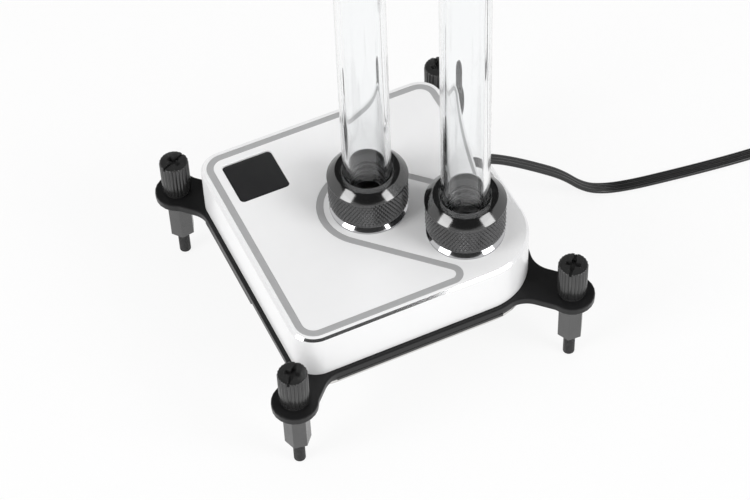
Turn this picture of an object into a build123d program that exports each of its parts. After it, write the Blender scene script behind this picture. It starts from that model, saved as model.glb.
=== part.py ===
from build123d import *
import math
import os

# Processor water block with four stud mounts, two compression fittings and their tubes.
# Millimetres. Z = 0 is the face that meets the processor, its centre is the origin,
# +X runs along the front edge and +Z points up, away from the processor.

# Plan sizes
stud_pitch = 75.0
stud_inset = 4.0            # from the stud line in to the side of the cover
cover_corner = 6.4
port_corner = 15.6          # the one large corner, concentric with the outlet
contact_size = 43.0
contact_corner = 1.5
plate_corner = 9.0
core_setback = 6.1          # from the side of the cover in to the side of the core
core_corner = 5.0

# Heights
contact_thickness = 3.0
plate_thickness = 2.0
rim_thickness = 0.8
bracket_thickness = 2.2
cover_height = 13.4

# Bracket
bracket_overhang = 1.1      # past the side of the cover
rim_overhang = 0.8
plate_overhang = 0.1
lug_radius = 5.8
arm_width = 10.6
arm_fillet = 6.5
lug_fillet = 3.0
rim_tab = 0.3
front_tab = (-25.0, 20.0)
left_tab = (-3.5, 26.0)

# Corner hardware
stud_radius = 1.5
hex_width = 5.8
hex_length = 13.4
foot_length = 8.3           # stud below the hexagon
stud_rise = 8.5             # stud above the bracket
stud_tip = 0.45
hex_turns = {"front_left": 18.8, "front_right": 26.4, "rear_left": 38.7, "rear_right": 10.0}
washer_radius = 3.3
washer_thickness = 0.6
nut_radius = 3.75
nut_height = 10.1
nut_edge = 0.35
nut_thread_depth = 8.6
nut_slot_width = 0.7
nut_slot_depth = 0.6
nut_cross_width = 1.2
nut_cross_length = 3.8
nut_cross_depth = 1.2
nut_slot_turns = {"front_left": 50.0, "front_right": 50.0, "rear_left": 25.0, "rear_right": 80.0}

# Cover
cover_wall = 1.8
cover_roof = 2.6
cover_edge = 0.6
groove_depth = 1.4
light_width = 1.8
light_inset = 2.35          # from the side of the cover in to the middle of the light
light_corner = 4.05
light_turn = 2.3
light_wrap = 12.2           # round the inlet
badge_size = 13.4
badge_corner = 1.2
badge_thickness = 0.8
badge_sink = 0.5
badge_inset = 12.1          # from the side of the cover in to the middle of the badge

# Light board
board_thickness = 0.8
board_outside = 0.4
board_inside = 2.0
chip_count = 18
chip_size = 1.5
chip_height = 0.6
board_clearance = 0.5       # board to the underside of the roof

# Screws
screw_radius = 1.2
screw_head_radius = 2.3
screw_head_height = 1.2
base_screw_at = 24.2
base_screw_length = 9.0
cover_screw_inset = 3.75    # from the side of the cover
cover_screw_offset = 9.0
cover_screw_end = 1.5       # below the top of its boss
boss_radius = 2.2
boss_web = 3.2

# Water way
chamber_half = 17.0
chamber_depth = 2.9
chamber_corner = 2.5
fin_half = 13.2
fin_height = 2.4
fin_pitch = 1.1
fin_thickness = 0.5
jet_margin = 0.1
jet_slot = (24.0, 1.4)
manifold = (26.0, 4.0, 2.4)
seal_half = 20.6
seal_corner = 6.0
seal_width = 1.9
seal_depth = 1.6
gallery_radius = 2.8
gallery_height = 3.1
gallery_inset = 2.1

# Ports and fittings
port_boss_radius = 8.4
thread_radius = 6.58
thread_length = 5.5
port_depth = 6.0
water_bore = 4.1
base_ring_height = 2.0
ring_edge = 0.25
port_seal = (6.95, 8.15)
port_seal_height = 1.0
cup_wall = 0.85             # outside the seal on the tube
cup_top = 8.5
tube_outer_radius = 6.0
tube_bore_radius = 4.5
tube_seat = 5.3
tube_length = 90.0
inner_seal_bottom = 6.4
tube_seal_height = 1.5
tube_seal_width = 1.4
slip_height = 0.95
collar_wall = 1.65          # outside the cup
collar_lip_reach = 0.13
collar_bottom = 2.2
collar_knurl_top = 11.3
collar_top = 13.35
collar_top_setback = 1.93
ring_setback = 0.15         # of the polished ring, from the side of the collar

# Lead
lead_diameter = 2.4
lead_side = 11.4            # from the middle of the cover, along the right side
grommet_width = 5.4
grommet_height = 3.4
grommet_lip = 0.8
grommet_lip_width = 6.6
grommet_lip_height = 4.2
coil_away = 96.2            # from the grommet out to the middle of the coil
coil_side = -21.8
coil_mean_radius = 18.4
coil_band = 7.4
coil_height = 2.9
plug_width = 10.2
plug_length = 14.0
plug_height = 2.6
plug_away = 117.0
plug_side = -38.0
contact_pitch = 2.54
contact_width = 0.7
contact_length = 8.0

# Clearances
screw_clearance = 0.1
stud_clearance = 0.1
thread_clearance = 0.02
running_clearance = 0.05
panel_clearance = 0.03
core_clearance = 0.4
boss_clearance = 0.2
seal_clearance = 0.01
groove_clearance = 0.1
cup_clearance = 0.1

# Places that follow from the sizes above
stud_at = stud_pitch / 2
cover_half = stud_at - stud_inset
port_at = cover_half - port_corner
core_half = cover_half - core_setback
bracket_half = cover_half + bracket_overhang
rim_half = cover_half + rim_overhang
plate_half = cover_half + plate_overhang
plate_bottom = contact_thickness
plate_top = plate_bottom + plate_thickness
bracket_bottom = plate_top + rim_thickness
bracket_top = bracket_bottom + bracket_thickness
cover_top = bracket_top + cover_height
roof_bottom = cover_top - cover_roof
core_top = roof_bottom - board_clearance - board_thickness
cover_screw_length = core_top - cover_screw_end - plate_bottom
hex_bottom = bracket_bottom - hex_length
floor_z = hex_bottom - foot_length
lead_start = cover_half + grommet_lip
lead_height = bracket_top + grommet_height / 2
coil_centre = (lead_start + coil_away, coil_side)
plug_back = (lead_start + plug_away, plug_side)
socket_radius = tube_outer_radius + running_clearance
cup_radius = socket_radius + tube_seal_width + cup_wall
slip_radius = cup_radius - cup_clearance
collar_inner_radius = cup_radius + cup_clearance
collar_radius = cup_radius + collar_wall
base_ring_radius = collar_radius - ring_setback
jet_bottom = plate_top + fin_height
chamber_top = plate_top + chamber_depth
ports = {"inlet": (0.0, 0.0), "outlet": (port_at, -port_at)}
corners = {"front_left": (-1, -1), "front_right": (1, -1), "rear_left": (-1, 1), "rear_right": (1, 1)}
base_screws = [
    (x * base_screw_at, y * base_screw_at)
    for x in (-1, 0, 1) for y in (-1, 0, 1) if (x, y) != (0, 0)
]
cover_screws = [
    (x * (cover_half - cover_screw_inset), y * cover_screw_offset)
    for x in (-1, 1) for y in (-1, 1)
]


def slab(face, bottom, top):
    """A face pulled up from one height to another."""
    return extrude(Pos(0, 0, bottom) * face, top - bottom)


def rod(x, y, radius, bottom, top):
    """An upright cylinder."""
    return Pos(x, y, (bottom + top) / 2) * Cylinder(radius, top - bottom)


def turned(points, x=0.0, y=0.0):
    """A turned piece from its (radius, height) outline, on an upright axis."""
    outline = Polyline([(radius, 0, height) for radius, height in points], close=True)
    return Pos(x, y, 0) * revolve(make_face(outline), Axis.Z)


def block_outline(half, radius, port_radius):
    """The block's square with three small corners and the large one at the outlet."""
    face = Rectangle(2 * half, 2 * half)
    face = fillet([v for v in face.vertices() if v.X > 0 and v.Y < 0], port_radius)
    sharp = [v for v in face.vertices() if abs(abs(v.X) - half) < 1e-6 and abs(abs(v.Y) - half) < 1e-6]
    return fillet(sharp, radius)


def rounded_square(half, radius):
    return RectangleRounded(2 * half, 2 * half, radius)


def arc_between(centre, radius, start, end):
    """An arc round a centre between two angles in degrees."""
    angles = (start, (start + end) / 2, end)
    spots = [
        (centre[0] + radius * math.cos(math.radians(a)), centre[1] + radius * math.sin(math.radians(a)))
        for a in angles
    ]
    return ThreePointArc(*spots)


def light_loop():
    """Middle line of the light: round the cover and back in between the two ports."""
    edge = cover_half - light_inset
    corner = edge - light_corner
    turn_y = edge - light_turn
    turn_x = turn_y - math.sqrt(2) * (light_wrap + light_turn)
    front_turn = arc_between((turn_x, -turn_y), light_turn, -90, 45)
    wrap = arc_between((0, 0), light_wrap, 225, 45)
    side_turn = arc_between((turn_y, -turn_x), light_turn, 225, 360)
    rear_right = arc_between((corner, corner), light_corner, 0, 90)
    rear_left = arc_between((-corner, corner), light_corner, 90, 180)
    front_left = arc_between((-corner, -corner), light_corner, 180, 270)
    bends = [front_turn, wrap, side_turn, rear_right, rear_left, front_left]
    edges = []
    for bend, following in zip(bends, bends[1:] + bends[:1]):
        edges += [bend, Line(bend @ 1, following @ 0)]
    return Wire(edges)


def loop_band(outside, inside):
    """A flat band along the light, from one distance outside its middle line to one inside."""
    face = make_face(light_loop())
    return offset(face, outside) - offset(face, -inside)


def screw(x, y, bottom, length):
    """A cheese-head screw driven up from below."""
    head = rod(x, y, screw_head_radius, bottom, bottom + screw_head_height)
    return head + rod(x, y, screw_radius, bottom, bottom + length)


def screw_hole(x, y, bottom, top):
    """The counterbored hole that such a screw lies in."""
    head = rod(x, y, screw_head_radius + screw_clearance, bottom, bottom + screw_head_height)
    return head + rod(x, y, screw_radius + screw_clearance, bottom, top)


def make_cold_plate():
    """Base with its contact pad and the fins that the water runs between."""
    pad = slab(rounded_square(contact_size / 2, contact_corner), 0, contact_thickness)
    plate = slab(block_outline(plate_half, plate_corner, plate_half - port_at), plate_bottom, plate_top)
    body = pad + plate
    fin_count = int(2 * fin_half / fin_pitch)
    first = -fin_pitch * (fin_count - 1) / 2
    fin = Box(fin_thickness, 2 * fin_half, fin_height)
    body += [Pos(first + i * fin_pitch, 0, plate_top + fin_height / 2) * fin for i in range(fin_count)]
    for x, y in base_screws + cover_screws:
        body -= screw_hole(x, y, plate_bottom, plate_top)
    return body


def make_jet_plate():
    """Thin plate on the fins with the slot that feeds them."""
    half = fin_half + jet_margin
    return slab(Rectangle(2 * half, 2 * half) - Rectangle(*jet_slot), jet_bottom, chamber_top)


def seal_band(width):
    """The band of the main seal, round the chamber."""
    outer = rounded_square(seal_half + width / 2, seal_corner + width / 2)
    return outer - rounded_square(seal_half - width / 2, seal_corner - width / 2)


def make_main_seal():
    return slab(seal_band(seal_width), plate_top, plate_top + seal_depth)


def make_flow_body():
    """The body under the cover: rim, core, both port bosses and the water way."""
    rim = block_outline(rim_half, plate_corner, rim_half - port_at)
    tab = rim_half + rim_tab
    front = Pos(sum(front_tab) / 2, -tab / 2) * Rectangle(front_tab[1] - front_tab[0], tab)
    left = Pos(-tab / 2, sum(left_tab) / 2) * Rectangle(tab, left_tab[1] - left_tab[0])
    body = slab(rim + front + left, plate_top, bracket_bottom)
    body += slab(rounded_square(core_half, core_corner), bracket_bottom, core_top)
    for x, y in ports.values():
        body += rod(x, y, port_boss_radius, core_top, cover_top)
        body -= rod(x, y, thread_radius + thread_clearance, cover_top - port_depth, cover_top)
    manifold_top = chamber_top + manifold[2]
    body -= slab(rounded_square(chamber_half, chamber_corner), plate_top, chamber_top)
    body -= slab(Rectangle(*manifold[:2]), chamber_top, manifold_top)
    body -= rod(0, 0, water_bore, manifold_top, cover_top)
    gallery_top = chamber_top + gallery_height
    collect = chamber_half - gallery_inset
    reach = math.sqrt(2) * (port_at - collect)
    middle = (port_at + collect) / 2
    gallery = Pos(middle, -middle) * Rot(0, 0, -45) * SlotCenterToCenter(reach, 2 * gallery_radius)
    body -= slab(gallery, chamber_top, gallery_top)
    body -= rod(port_at, -port_at, water_bore, chamber_top + gallery_height / 2, cover_top)
    body -= slab(seal_band(seal_width + 2 * groove_clearance), plate_top, plate_top + seal_depth)
    pilot = screw_radius + thread_clearance
    for x, y in base_screws:
        body -= rod(x, y, pilot, plate_top, plate_bottom + base_screw_length + 0.5)
    for x, y in cover_screws:
        body -= rod(x, y, screw_radius + screw_clearance, plate_top, bracket_bottom)
    return body


def make_bracket():
    """Frame that clamps the block down, with an arm and a lug to each stud."""
    face = Rectangle(2 * bracket_half, 2 * bracket_half)
    face = fillet([v for v in face.vertices() if v.X > 0 and v.Y < 0], bracket_half - port_at)
    reach = math.hypot(stud_at, stud_at)
    for side_x, side_y in corners.values():
        turn = Rot(0, 0, math.degrees(math.atan2(side_y, side_x)))
        face += turn * Pos(reach / 2, 0) * Rectangle(reach, arm_width)
        face += turn * Pos(reach, 0) * Circle(lug_radius)

    def along(vertex):
        return (abs(vertex.X) + abs(vertex.Y)) / math.sqrt(2)

    def across(vertex):
        return abs(abs(vertex.X) - abs(vertex.Y)) / math.sqrt(2)

    def on_arm(vertex):
        return abs(across(vertex) - arm_width / 2) < 1e-3

    lug_start = reach - lug_radius
    face = fillet([v for v in face.vertices() if on_arm(v) and along(v) > lug_start], lug_fillet)
    face = fillet([v for v in face.vertices() if on_arm(v) and along(v) < lug_start - lug_fillet / 2], arm_fillet)
    body = slab(face, bracket_bottom, bracket_top)
    opening = rounded_square(core_half + core_clearance, core_corner + core_clearance)
    body -= slab(opening, bracket_bottom, bracket_top)
    for side_x, side_y in corners.values():
        body -= rod(side_x * stud_at, side_y * stud_at, stud_radius + stud_clearance, bracket_bottom, bracket_top)
    for x, y in cover_screws:
        body -= rod(x, y, screw_radius + screw_clearance, bracket_bottom, bracket_top)
    return body


def light_spots():
    """Place and heading of each light chip, evenly along the loop."""
    loop = light_loop()
    spots = []
    for i in range(chip_count):
        place = loop @ ((i + 0.5) / chip_count)
        heading = loop % ((i + 0.5) / chip_count)
        spots.append(Pos(place.X, place.Y) * Rot(0, 0, math.degrees(math.atan2(heading.Y, heading.X))))
    return spots


def badge_place():
    at = cover_half - badge_inset
    return Pos(-at, at)


def make_cover():
    """Moulded shell with the light's groove, the badge's recess and the screw bosses."""
    body = slab(block_outline(cover_half, cover_corner, port_corner), bracket_top, cover_top)
    body = chamfer(body.faces().sort_by(Axis.Z)[-1].edges(), cover_edge)
    inner = block_outline(cover_half - cover_wall, cover_corner - cover_wall, port_corner - cover_wall)
    body -= slab(inner, bracket_top, roof_bottom)
    for x, y in cover_screws:
        side = math.copysign(1, x)
        wall = cover_half - cover_wall / 2
        web = Pos((x + side * wall) / 2, y) * Rectangle(wall - abs(x), boss_web)
        body += slab(web, bracket_top, core_top)
        body += rod(x, y, boss_radius, bracket_top, core_top)
        pilot_top = plate_bottom + cover_screw_length + 0.5
        body -= rod(x, y, screw_radius + thread_clearance, bracket_top, pilot_top)
    for x, y in ports.values():
        body -= rod(x, y, port_boss_radius + boss_clearance, roof_bottom, cover_top)
    groove = loop_band(light_width / 2, light_width / 2)
    body -= slab(groove, cover_top - groove_depth, cover_top)
    window = Box(chip_size + 0.6, light_width - 0.2, 2 * (cover_roof - groove_depth))
    body -= [Pos(0, 0, roof_bottom) * spot * window for spot in light_spots()]
    recess = rounded_square(badge_size / 2 + panel_clearance, badge_corner)
    body -= slab(badge_place() * recess, cover_top - badge_sink - badge_thickness, cover_top)
    notch = Pos(cover_half - cover_wall / 2, lead_side, bracket_top) * Box(
        3 * cover_wall, grommet_width, 2 * grommet_height
    )
    return body - notch


def make_light_diffuser():
    half = light_width / 2 - panel_clearance
    return slab(loop_band(half, half), cover_top - groove_depth, cover_top)


def make_badge_plate():
    bottom = cover_top - badge_sink - badge_thickness
    return slab(badge_place() * rounded_square(badge_size / 2, badge_corner), bottom, bottom + badge_thickness)


def make_light_board():
    return slab(loop_band(board_outside, board_inside), core_top, core_top + board_thickness)


def make_light_chips():
    chip = Box(chip_size, chip_size, chip_height)
    height = core_top + board_thickness + chip_height / 2
    return [Pos(0, 0, height) * spot * chip for spot in light_spots()]


def make_grommet():
    """Bushing of the lead, through the cover's side and with a lip outside."""
    inside = cover_half - cover_wall
    bush = Pos((inside + cover_half) / 2, lead_side, bracket_top + grommet_height / 2) * Box(
        cover_wall, grommet_width - 2 * panel_clearance, grommet_height - 2 * panel_clearance
    )
    lip = Pos(cover_half + grommet_lip / 2, lead_side, bracket_top + grommet_lip_height / 2) * Box(
        grommet_lip, grommet_lip_width, grommet_lip_height
    )
    return bush + chamfer(lip.faces().sort_by(Axis.X)[-1].edges(), grommet_lip / 2)


def make_fitting_base(x, y):
    """Threaded foot, polished ring and the cup that the tube stands in."""
    seal_in = port_seal[0] - panel_clearance
    seal_out = port_seal[1] + panel_clearance
    seal_wall = socket_radius + tube_seal_width
    inner_seal_top = inner_seal_bottom + tube_seal_height
    outline = [
        (water_bore, -thread_length),
        (thread_radius - 0.4, -thread_length),
        (thread_radius, 0.4 - thread_length),
        (thread_radius, 0),
        (seal_in, 0),
        (seal_in, port_seal_height),
        (seal_out, port_seal_height),
        (seal_out, 0),
        (base_ring_radius - ring_edge, 0),
        (base_ring_radius, ring_edge),
        (base_ring_radius, base_ring_height - ring_edge),
        (base_ring_radius - ring_edge, base_ring_height),
        (cup_radius, base_ring_height),
        (cup_radius, cup_top),
        (socket_radius, cup_top),
        (socket_radius, inner_seal_top),
        (seal_wall, inner_seal_top),
        (seal_wall, inner_seal_bottom),
        (socket_radius, inner_seal_bottom),
        (socket_radius, tube_seat),
        (water_bore, tube_seat),
    ]
    return turned([(r, cover_top + z) for r, z in outline], x, y)


def seal_ring(x, y, inner, outer, bottom, top):
    """A rubber ring as it is squeezed square in its groove."""
    return rod(x, y, outer, bottom, top) - rod(x, y, inner, bottom, top)


def make_port_seal(x, y):
    return seal_ring(x, y, port_seal[0], port_seal[1], cover_top, cover_top + port_seal_height)


def make_tube_seals(x, y):
    inner = tube_outer_radius + seal_clearance
    outer = tube_outer_radius + tube_seal_width
    low = cover_top + inner_seal_bottom
    high = cover_top + cup_top
    return [
        seal_ring(x, y, inner, outer, low, low + tube_seal_height),
        seal_ring(x, y, inner, outer + 0.3, high, high + tube_seal_height),
    ]


def slip_bottom():
    return cover_top + cup_top + tube_seal_height + running_clearance


def make_slip_ring(x, y):
    """Flat ring between the upper seal and the collar."""
    bottom = slip_bottom()
    hole = tube_outer_radius + 2 * running_clearance
    return rod(x, y, slip_radius, bottom, bottom + slip_height) - rod(x, y, hole, bottom, bottom + slip_height)


def make_collar(x, y):
    """Grip collar that screws down over the cup."""
    hole = tube_outer_radius + 3 * running_clearance
    ledge = slip_bottom() + slip_height + running_clearance - cover_top
    outline = [
        (collar_inner_radius, collar_bottom),
        (collar_radius - ring_edge, collar_bottom),
        (collar_radius, collar_bottom + ring_edge),
        (collar_radius, collar_knurl_top - ring_edge),
        (collar_radius + collar_lip_reach, collar_knurl_top),
        (collar_radius - collar_top_setback, collar_top),
        (hole + ring_edge, collar_top),
        (hole, collar_top - ring_edge),
        (hole, ledge),
        (collar_inner_radius, ledge),
    ]
    return turned([(r, cover_top + z) for r, z in outline], x, y)


def make_tube(x, y):
    bottom = cover_top + tube_seat
    top = bottom + tube_length
    return rod(x, y, tube_outer_radius, bottom, top) - rod(x, y, tube_bore_radius, bottom, top)


def make_standoff(x, y, turn):
    """Hexagon with a stud at each end: one into the board, one up through the lug."""
    outline = Pos(x, y) * Rot(0, 0, turn) * RegularPolygon(hex_width / math.sqrt(3), 6, rotation=30)
    hexagon = slab(outline, hex_bottom, bracket_bottom)
    foot = chamfer(rod(x, y, stud_radius, floor_z, hex_bottom).edges().sort_by(Axis.Z)[0], stud_tip)
    top = rod(x, y, stud_radius, bracket_bottom, bracket_top + stud_rise)
    return hexagon + foot + chamfer(top.edges().sort_by(Axis.Z)[-1], stud_tip)


def make_washer(x, y):
    bottom = bracket_top + panel_clearance
    hole = stud_radius + 2 * running_clearance
    ring = rod(x, y, washer_radius, bottom, bottom + washer_thickness)
    return ring - rod(x, y, hole, bottom, bottom + washer_thickness)


def make_nut(x, y, slot_turn):
    """Thumb nut with a screwdriver slot across a cross recess in its top."""
    bottom = bracket_top + washer_thickness + 2 * panel_clearance
    top = bottom + nut_height
    outline = [
        (0, bottom),
        (nut_radius - nut_edge, bottom),
        (nut_radius, bottom + nut_edge),
        (nut_radius, top - nut_edge),
        (nut_radius - nut_edge, top),
        (0, top),
    ]
    slot = Box(3 * nut_radius, nut_slot_width, 2 * nut_slot_depth)
    arm = Box(nut_cross_length, nut_cross_width, 2 * nut_cross_depth)
    body = turned(outline) - rod(0, 0, stud_radius + running_clearance, bottom, bottom + nut_thread_depth)
    body -= Pos(0, 0, top) * (slot + arm + Rot(0, 0, 90) * arm)
    return Pos(x, y) * Rot(0, 0, slot_turn) * body


def lead_route():
    """Points of the lead from the grommet to where its coil begins, chosen by hand."""
    rest = floor_z + lead_diameter / 2
    points = [
        (0.0, lead_side, lead_height),
        (4.7, 11.4, 8.0),
        (11.7, 11.2, 3.4),
        (18.7, 10.0, -1.3),
        (25.2, 8.4, -5.7),
        (31.2, 6.9, -12.0),
        (37.2, 6.0, rest),
        (44.7, 4.0, rest),
        (54.7, 2.4, rest),
        (65.7, 0.8, rest),
        (76.7, -0.5, rest),
        (88.2, -1.3, rest),
    ]
    return [(lead_start + x, y, z) for x, y, z in points]


def tail_route():
    """Points of the lead from its coil to the back of the plug, chosen by hand."""
    entry = floor_z + plug_height / 2
    back_x, back_y = plug_back
    return [(back_x - 0.6, back_y + 14.0, entry + 0.5), (back_x, back_y + 7.0, entry), (back_x, back_y, entry)]


def lead_tube(points):
    """A round lead along straight runs joined by arcs as large as the runs allow."""
    radii = []
    for before, here, after in zip(points, points[1:], points[2:]):
        run_in = Vector(*here) - Vector(*before)
        run_out = Vector(*after) - Vector(*here)
        half_turn = math.radians(run_in.get_angle(run_out)) / 2
        radii.append(0.45 * min(run_in.length, run_out.length) / math.tan(half_turn))
    print("lead radii", [round(radius, 1) for radius in radii])
    path = FilletPolyline(*points, radius=radii)
    start = Plane(origin=points[0], z_dir=path % 0)
    lead = sweep(start * Circle(lead_diameter / 2), path)
    section = math.pi * lead_diameter ** 2 / 4
    print("lead volume", round(lead.volume, 2), "of", round(section * path.length, 2))
    return lead


def make_coil():
    """The rest of the lead as the outer shape of its coil."""
    inner = coil_mean_radius - coil_band / 2
    outer = coil_mean_radius + coil_band / 2
    return seal_ring(*coil_centre, inner, outer, floor_z, floor_z + coil_height)


def contact_spots():
    """Places of the plug's three contacts, with the gap of a keyed four-way housing."""
    return [plug_back[0] + (i - 1.5) * contact_pitch for i in (0, 1, 3)]


def make_plug():
    """Flat three-way housing at the end of the lead."""
    middle = plug_back[1] - plug_length / 2
    body = Pos(plug_back[0], middle, floor_z + plug_height / 2) * Box(plug_width, plug_length, plug_height)
    body = chamfer(body.edges().filter_by(Axis.Y), 0.4)
    front = plug_back[1] - plug_length
    for x in contact_spots():
        body -= Pos(x, front, floor_z + plug_height / 2) * Box(
            contact_width + 2 * panel_clearance, 2 * contact_length, contact_width + 2 * panel_clearance
        )
    return body


def make_plug_contacts():
    front = plug_back[1] - plug_length
    contact = Box(contact_width, contact_length, contact_width)
    return [Pos(x, front + contact_length / 2, floor_z + plug_height / 2) * contact for x in contact_spots()]


def build():
    """Every piece by its node name; a list is a group of equal or paired pieces."""
    nodes = {
        "cold_plate": make_cold_plate(),
        "jet_plate": make_jet_plate(),
        "main_o_ring": make_main_seal(),
        "flow_body": make_flow_body(),
        "base_screws": [screw(x, y, plate_bottom, base_screw_length) for x, y in base_screws],
        "mounting_bracket": make_bracket(),
        "top_cover": make_cover(),
        "cover_screws": [screw(x, y, plate_bottom, cover_screw_length) for x, y in cover_screws],
        "light_diffuser": make_light_diffuser(),
        "badge_plate": make_badge_plate(),
        "led_board": make_light_board(),
        "led_chips": make_light_chips(),
        "cable_grommet": make_grommet(),
        "led_cable": lead_tube(lead_route()),
        "led_cable_coil": make_coil(),
        "led_cable_tail": lead_tube(tail_route()),
        "cable_plug": make_plug(),
        "plug_contacts": make_plug_contacts(),
    }
    for name, (x, y) in ports.items():
        nodes[name + "_fitting_base"] = make_fitting_base(x, y)
        nodes[name + "_port_o_ring"] = make_port_seal(x, y)
        nodes[name + "_tube_o_rings"] = make_tube_seals(x, y)
        nodes[name + "_slip_ring"] = make_slip_ring(x, y)
        nodes[name + "_knurled_collar"] = make_collar(x, y)
        nodes[name + "_coolant_tube"] = make_tube(x, y)
    for name, (side_x, side_y) in corners.items():
        x = side_x * stud_at
        y = side_y * stud_at
        nodes["standoff_" + name] = make_standoff(x, y, hex_turns[name])
        nodes["nut_washer_" + name] = make_washer(x, y)
        nodes["thumb_nut_" + name] = make_nut(x, y, nut_slot_turns[name])
    return nodes


def solids_of(piece):
    """One compound that holds the separate solids of a piece or a group."""
    pieces = piece if isinstance(piece, list) else [piece]
    return Compound(children=[solid for item in pieces for solid in item.solids()])


os.makedirs("parts", exist_ok=True)
for node_name, piece in build().items():
    export_step(solids_of(piece), "parts/" + node_name + ".step")
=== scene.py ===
import logging
import math
from dataclasses import dataclass, field
from enum import Enum
from typing import Callable, Sequence

import bmesh
import bpy
from mathutils import Matrix, Vector
from mathutils.geometry import tessellate_polygon


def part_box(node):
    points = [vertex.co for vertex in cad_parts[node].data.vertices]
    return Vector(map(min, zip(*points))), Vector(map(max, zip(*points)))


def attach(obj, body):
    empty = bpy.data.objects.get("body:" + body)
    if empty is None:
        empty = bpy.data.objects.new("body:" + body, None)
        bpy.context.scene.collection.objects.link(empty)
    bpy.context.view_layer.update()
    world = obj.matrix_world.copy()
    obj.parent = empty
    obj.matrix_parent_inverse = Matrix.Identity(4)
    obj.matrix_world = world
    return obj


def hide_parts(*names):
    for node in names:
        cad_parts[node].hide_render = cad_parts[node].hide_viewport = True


# Processor water block: finishes, fine shapes, lead, studio and camera.
# Sizes are in millimetres and become metres when a mesh is made. Heights and places come
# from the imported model's boxes, so that a changed model carries its dressing along.

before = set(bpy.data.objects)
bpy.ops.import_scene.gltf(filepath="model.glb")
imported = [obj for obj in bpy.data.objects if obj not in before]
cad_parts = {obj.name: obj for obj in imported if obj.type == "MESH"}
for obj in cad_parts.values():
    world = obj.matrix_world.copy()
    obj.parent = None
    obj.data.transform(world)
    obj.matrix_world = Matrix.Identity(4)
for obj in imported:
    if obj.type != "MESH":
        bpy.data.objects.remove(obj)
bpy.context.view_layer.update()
LOG = logging.getLogger("water_block")
MM = 0.001

# The body that doesn't move
BLOCK = "block"

# A smaller radius than this is a point on the axis
ON_AXIS = 1e-6

Point2 = tuple[float, float]
Point3 = tuple[float, float, float]


class Corner(Enum):
    """The four studs, by the side of the block that they stand at."""

    FRONT_LEFT = "front_left"
    FRONT_RIGHT = "front_right"
    REAR_LEFT = "rear_left"
    REAR_RIGHT = "rear_right"


class Port(Enum):
    """The two water ports."""

    INLET = "inlet"
    OUTLET = "outlet"


@dataclass(frozen=True)
class NodeBox:
    """The lowest and highest corner of a CAD node, in millimetres."""

    low: Vector
    high: Vector

    @classmethod
    def of(cls, node: str) -> "NodeBox":
        """Reads a node's box.

        Args:
            node: Name of the CAD node.

        Returns:
            Its box at rest.
        """
        low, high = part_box(node)
        return cls(Vector(low) / MM, Vector(high) / MM)

    @property
    def centre(self) -> Vector:
        """Middle of the box."""
        return (self.low + self.high) / 2

    @property
    def half(self) -> Vector:
        """Half of the box's size along each axis."""
        return (self.high - self.low) / 2


# Outlines


@dataclass(frozen=True)
class Arc:
    """One round stretch of an outline; its sweep is positive where the outline turns left."""

    x: float
    y: float
    radius: float
    start: float
    sweep: float

    def points(self, outward: float, steps: int) -> list[Point2]:
        """Samples the arc.

        Args:
            outward: Distance that the whole outline is moved outward.
            steps: Number of straight pieces.

        Returns:
            The points along the arc, both ends among them.
        """
        reach = self.radius + math.copysign(outward, outward * self.sweep)
        turns = [math.radians(self.start + self.sweep * i / steps) for i in range(steps + 1)]
        return [(self.x + reach * math.cos(a), self.y + reach * math.sin(a)) for a in turns]


@dataclass(frozen=True)
class Outline:
    """A closed outline made of arcs, joined by the straight lines between their ends."""

    arcs: tuple[Arc, ...]

    def points(self, outward: float = 0.0, steps: int = 14) -> list[Point2]:
        """Points of the outline, moved outward by a distance."""
        return [spot for arc in self.arcs for spot in arc.points(outward, steps)]

    def at(self, height: float, outward: float = 0.0, steps: int = 14) -> list[Point3]:
        """Points of the outline at one height."""
        return [(x, y, height) for x, y in self.points(outward, steps)]


def rounded_rectangle(x: float, y: float, half_x: float, half_y: float, radius: float) -> Outline:
    """Outline of a rectangle with equal round corners.

    Args:
        x: Middle in X.
        y: Middle in Y.
        half_x: Half of its length in X.
        half_y: Half of its length in Y.
        radius: Corner radius.

    Returns:
        The outline, counter-clockwise.
    """
    signs = ((1, 1, 0), (-1, 1, 90), (-1, -1, 180), (1, -1, 270))
    return Outline(tuple(
        Arc(x + sx * (half_x - radius), y + sy * (half_y - radius), radius, start, 90)
        for sx, sy, start in signs
    ))


def block_outline(half: float, corner: float, port_corner: float) -> Outline:
    """The block's square: three equal corners, and a large one at its front right.

    Args:
        half: Half of the square's side.
        corner: Radius of the three equal corners.
        port_corner: Radius of the large corner.

    Returns:
        The outline, counter-clockwise.
    """
    small = half - corner
    large = half - port_corner
    return Outline((
        Arc(small, small, corner, 0, 90),
        Arc(-small, small, corner, 90, 90),
        Arc(-small, -small, corner, 180, 90),
        Arc(large, -large, port_corner, 270, 90),
    ))


def soften(
    outline: Sequence[Point2], radius: float, steps: int = 3, closed: bool = True
) -> list[Point2]:
    """Rounds the corners of a profile.

    Args:
        outline: Corner points.
        radius: Length cut from each side of a corner, or less on a short side.
        steps: Straight pieces in each rounded corner.
        closed: Whether the last point joins the first.

    Returns:
        The profile with a curve at each corner; the ends of an open profile stay.
    """
    spots = [Vector(spot) for spot in outline]
    rounded: list[Point2] = []
    for i, here in enumerate(spots):
        if not closed and i in (0, len(spots) - 1):
            rounded.append(tuple(here))
            continue
        before = spots[i - 1] - here
        after = spots[(i + 1) % len(spots)] - here
        start = before.normalized() * min(radius, 0.45 * before.length)
        end = after.normalized() * min(radius, 0.45 * after.length)
        for k in range(steps + 1):
            t = k / steps
            rounded.append(tuple(here + start * (1 - t) ** 2 + end * t ** 2))
    return rounded


def circle(x: float, y: float, radius: float, height: float, steps: int) -> list[Point3]:
    """Points of a level circle, counter-clockwise from +X."""
    turns = [2 * math.pi * i / steps for i in range(steps)]
    return [(x + radius * math.cos(a), y + radius * math.sin(a), height) for a in turns]


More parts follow.
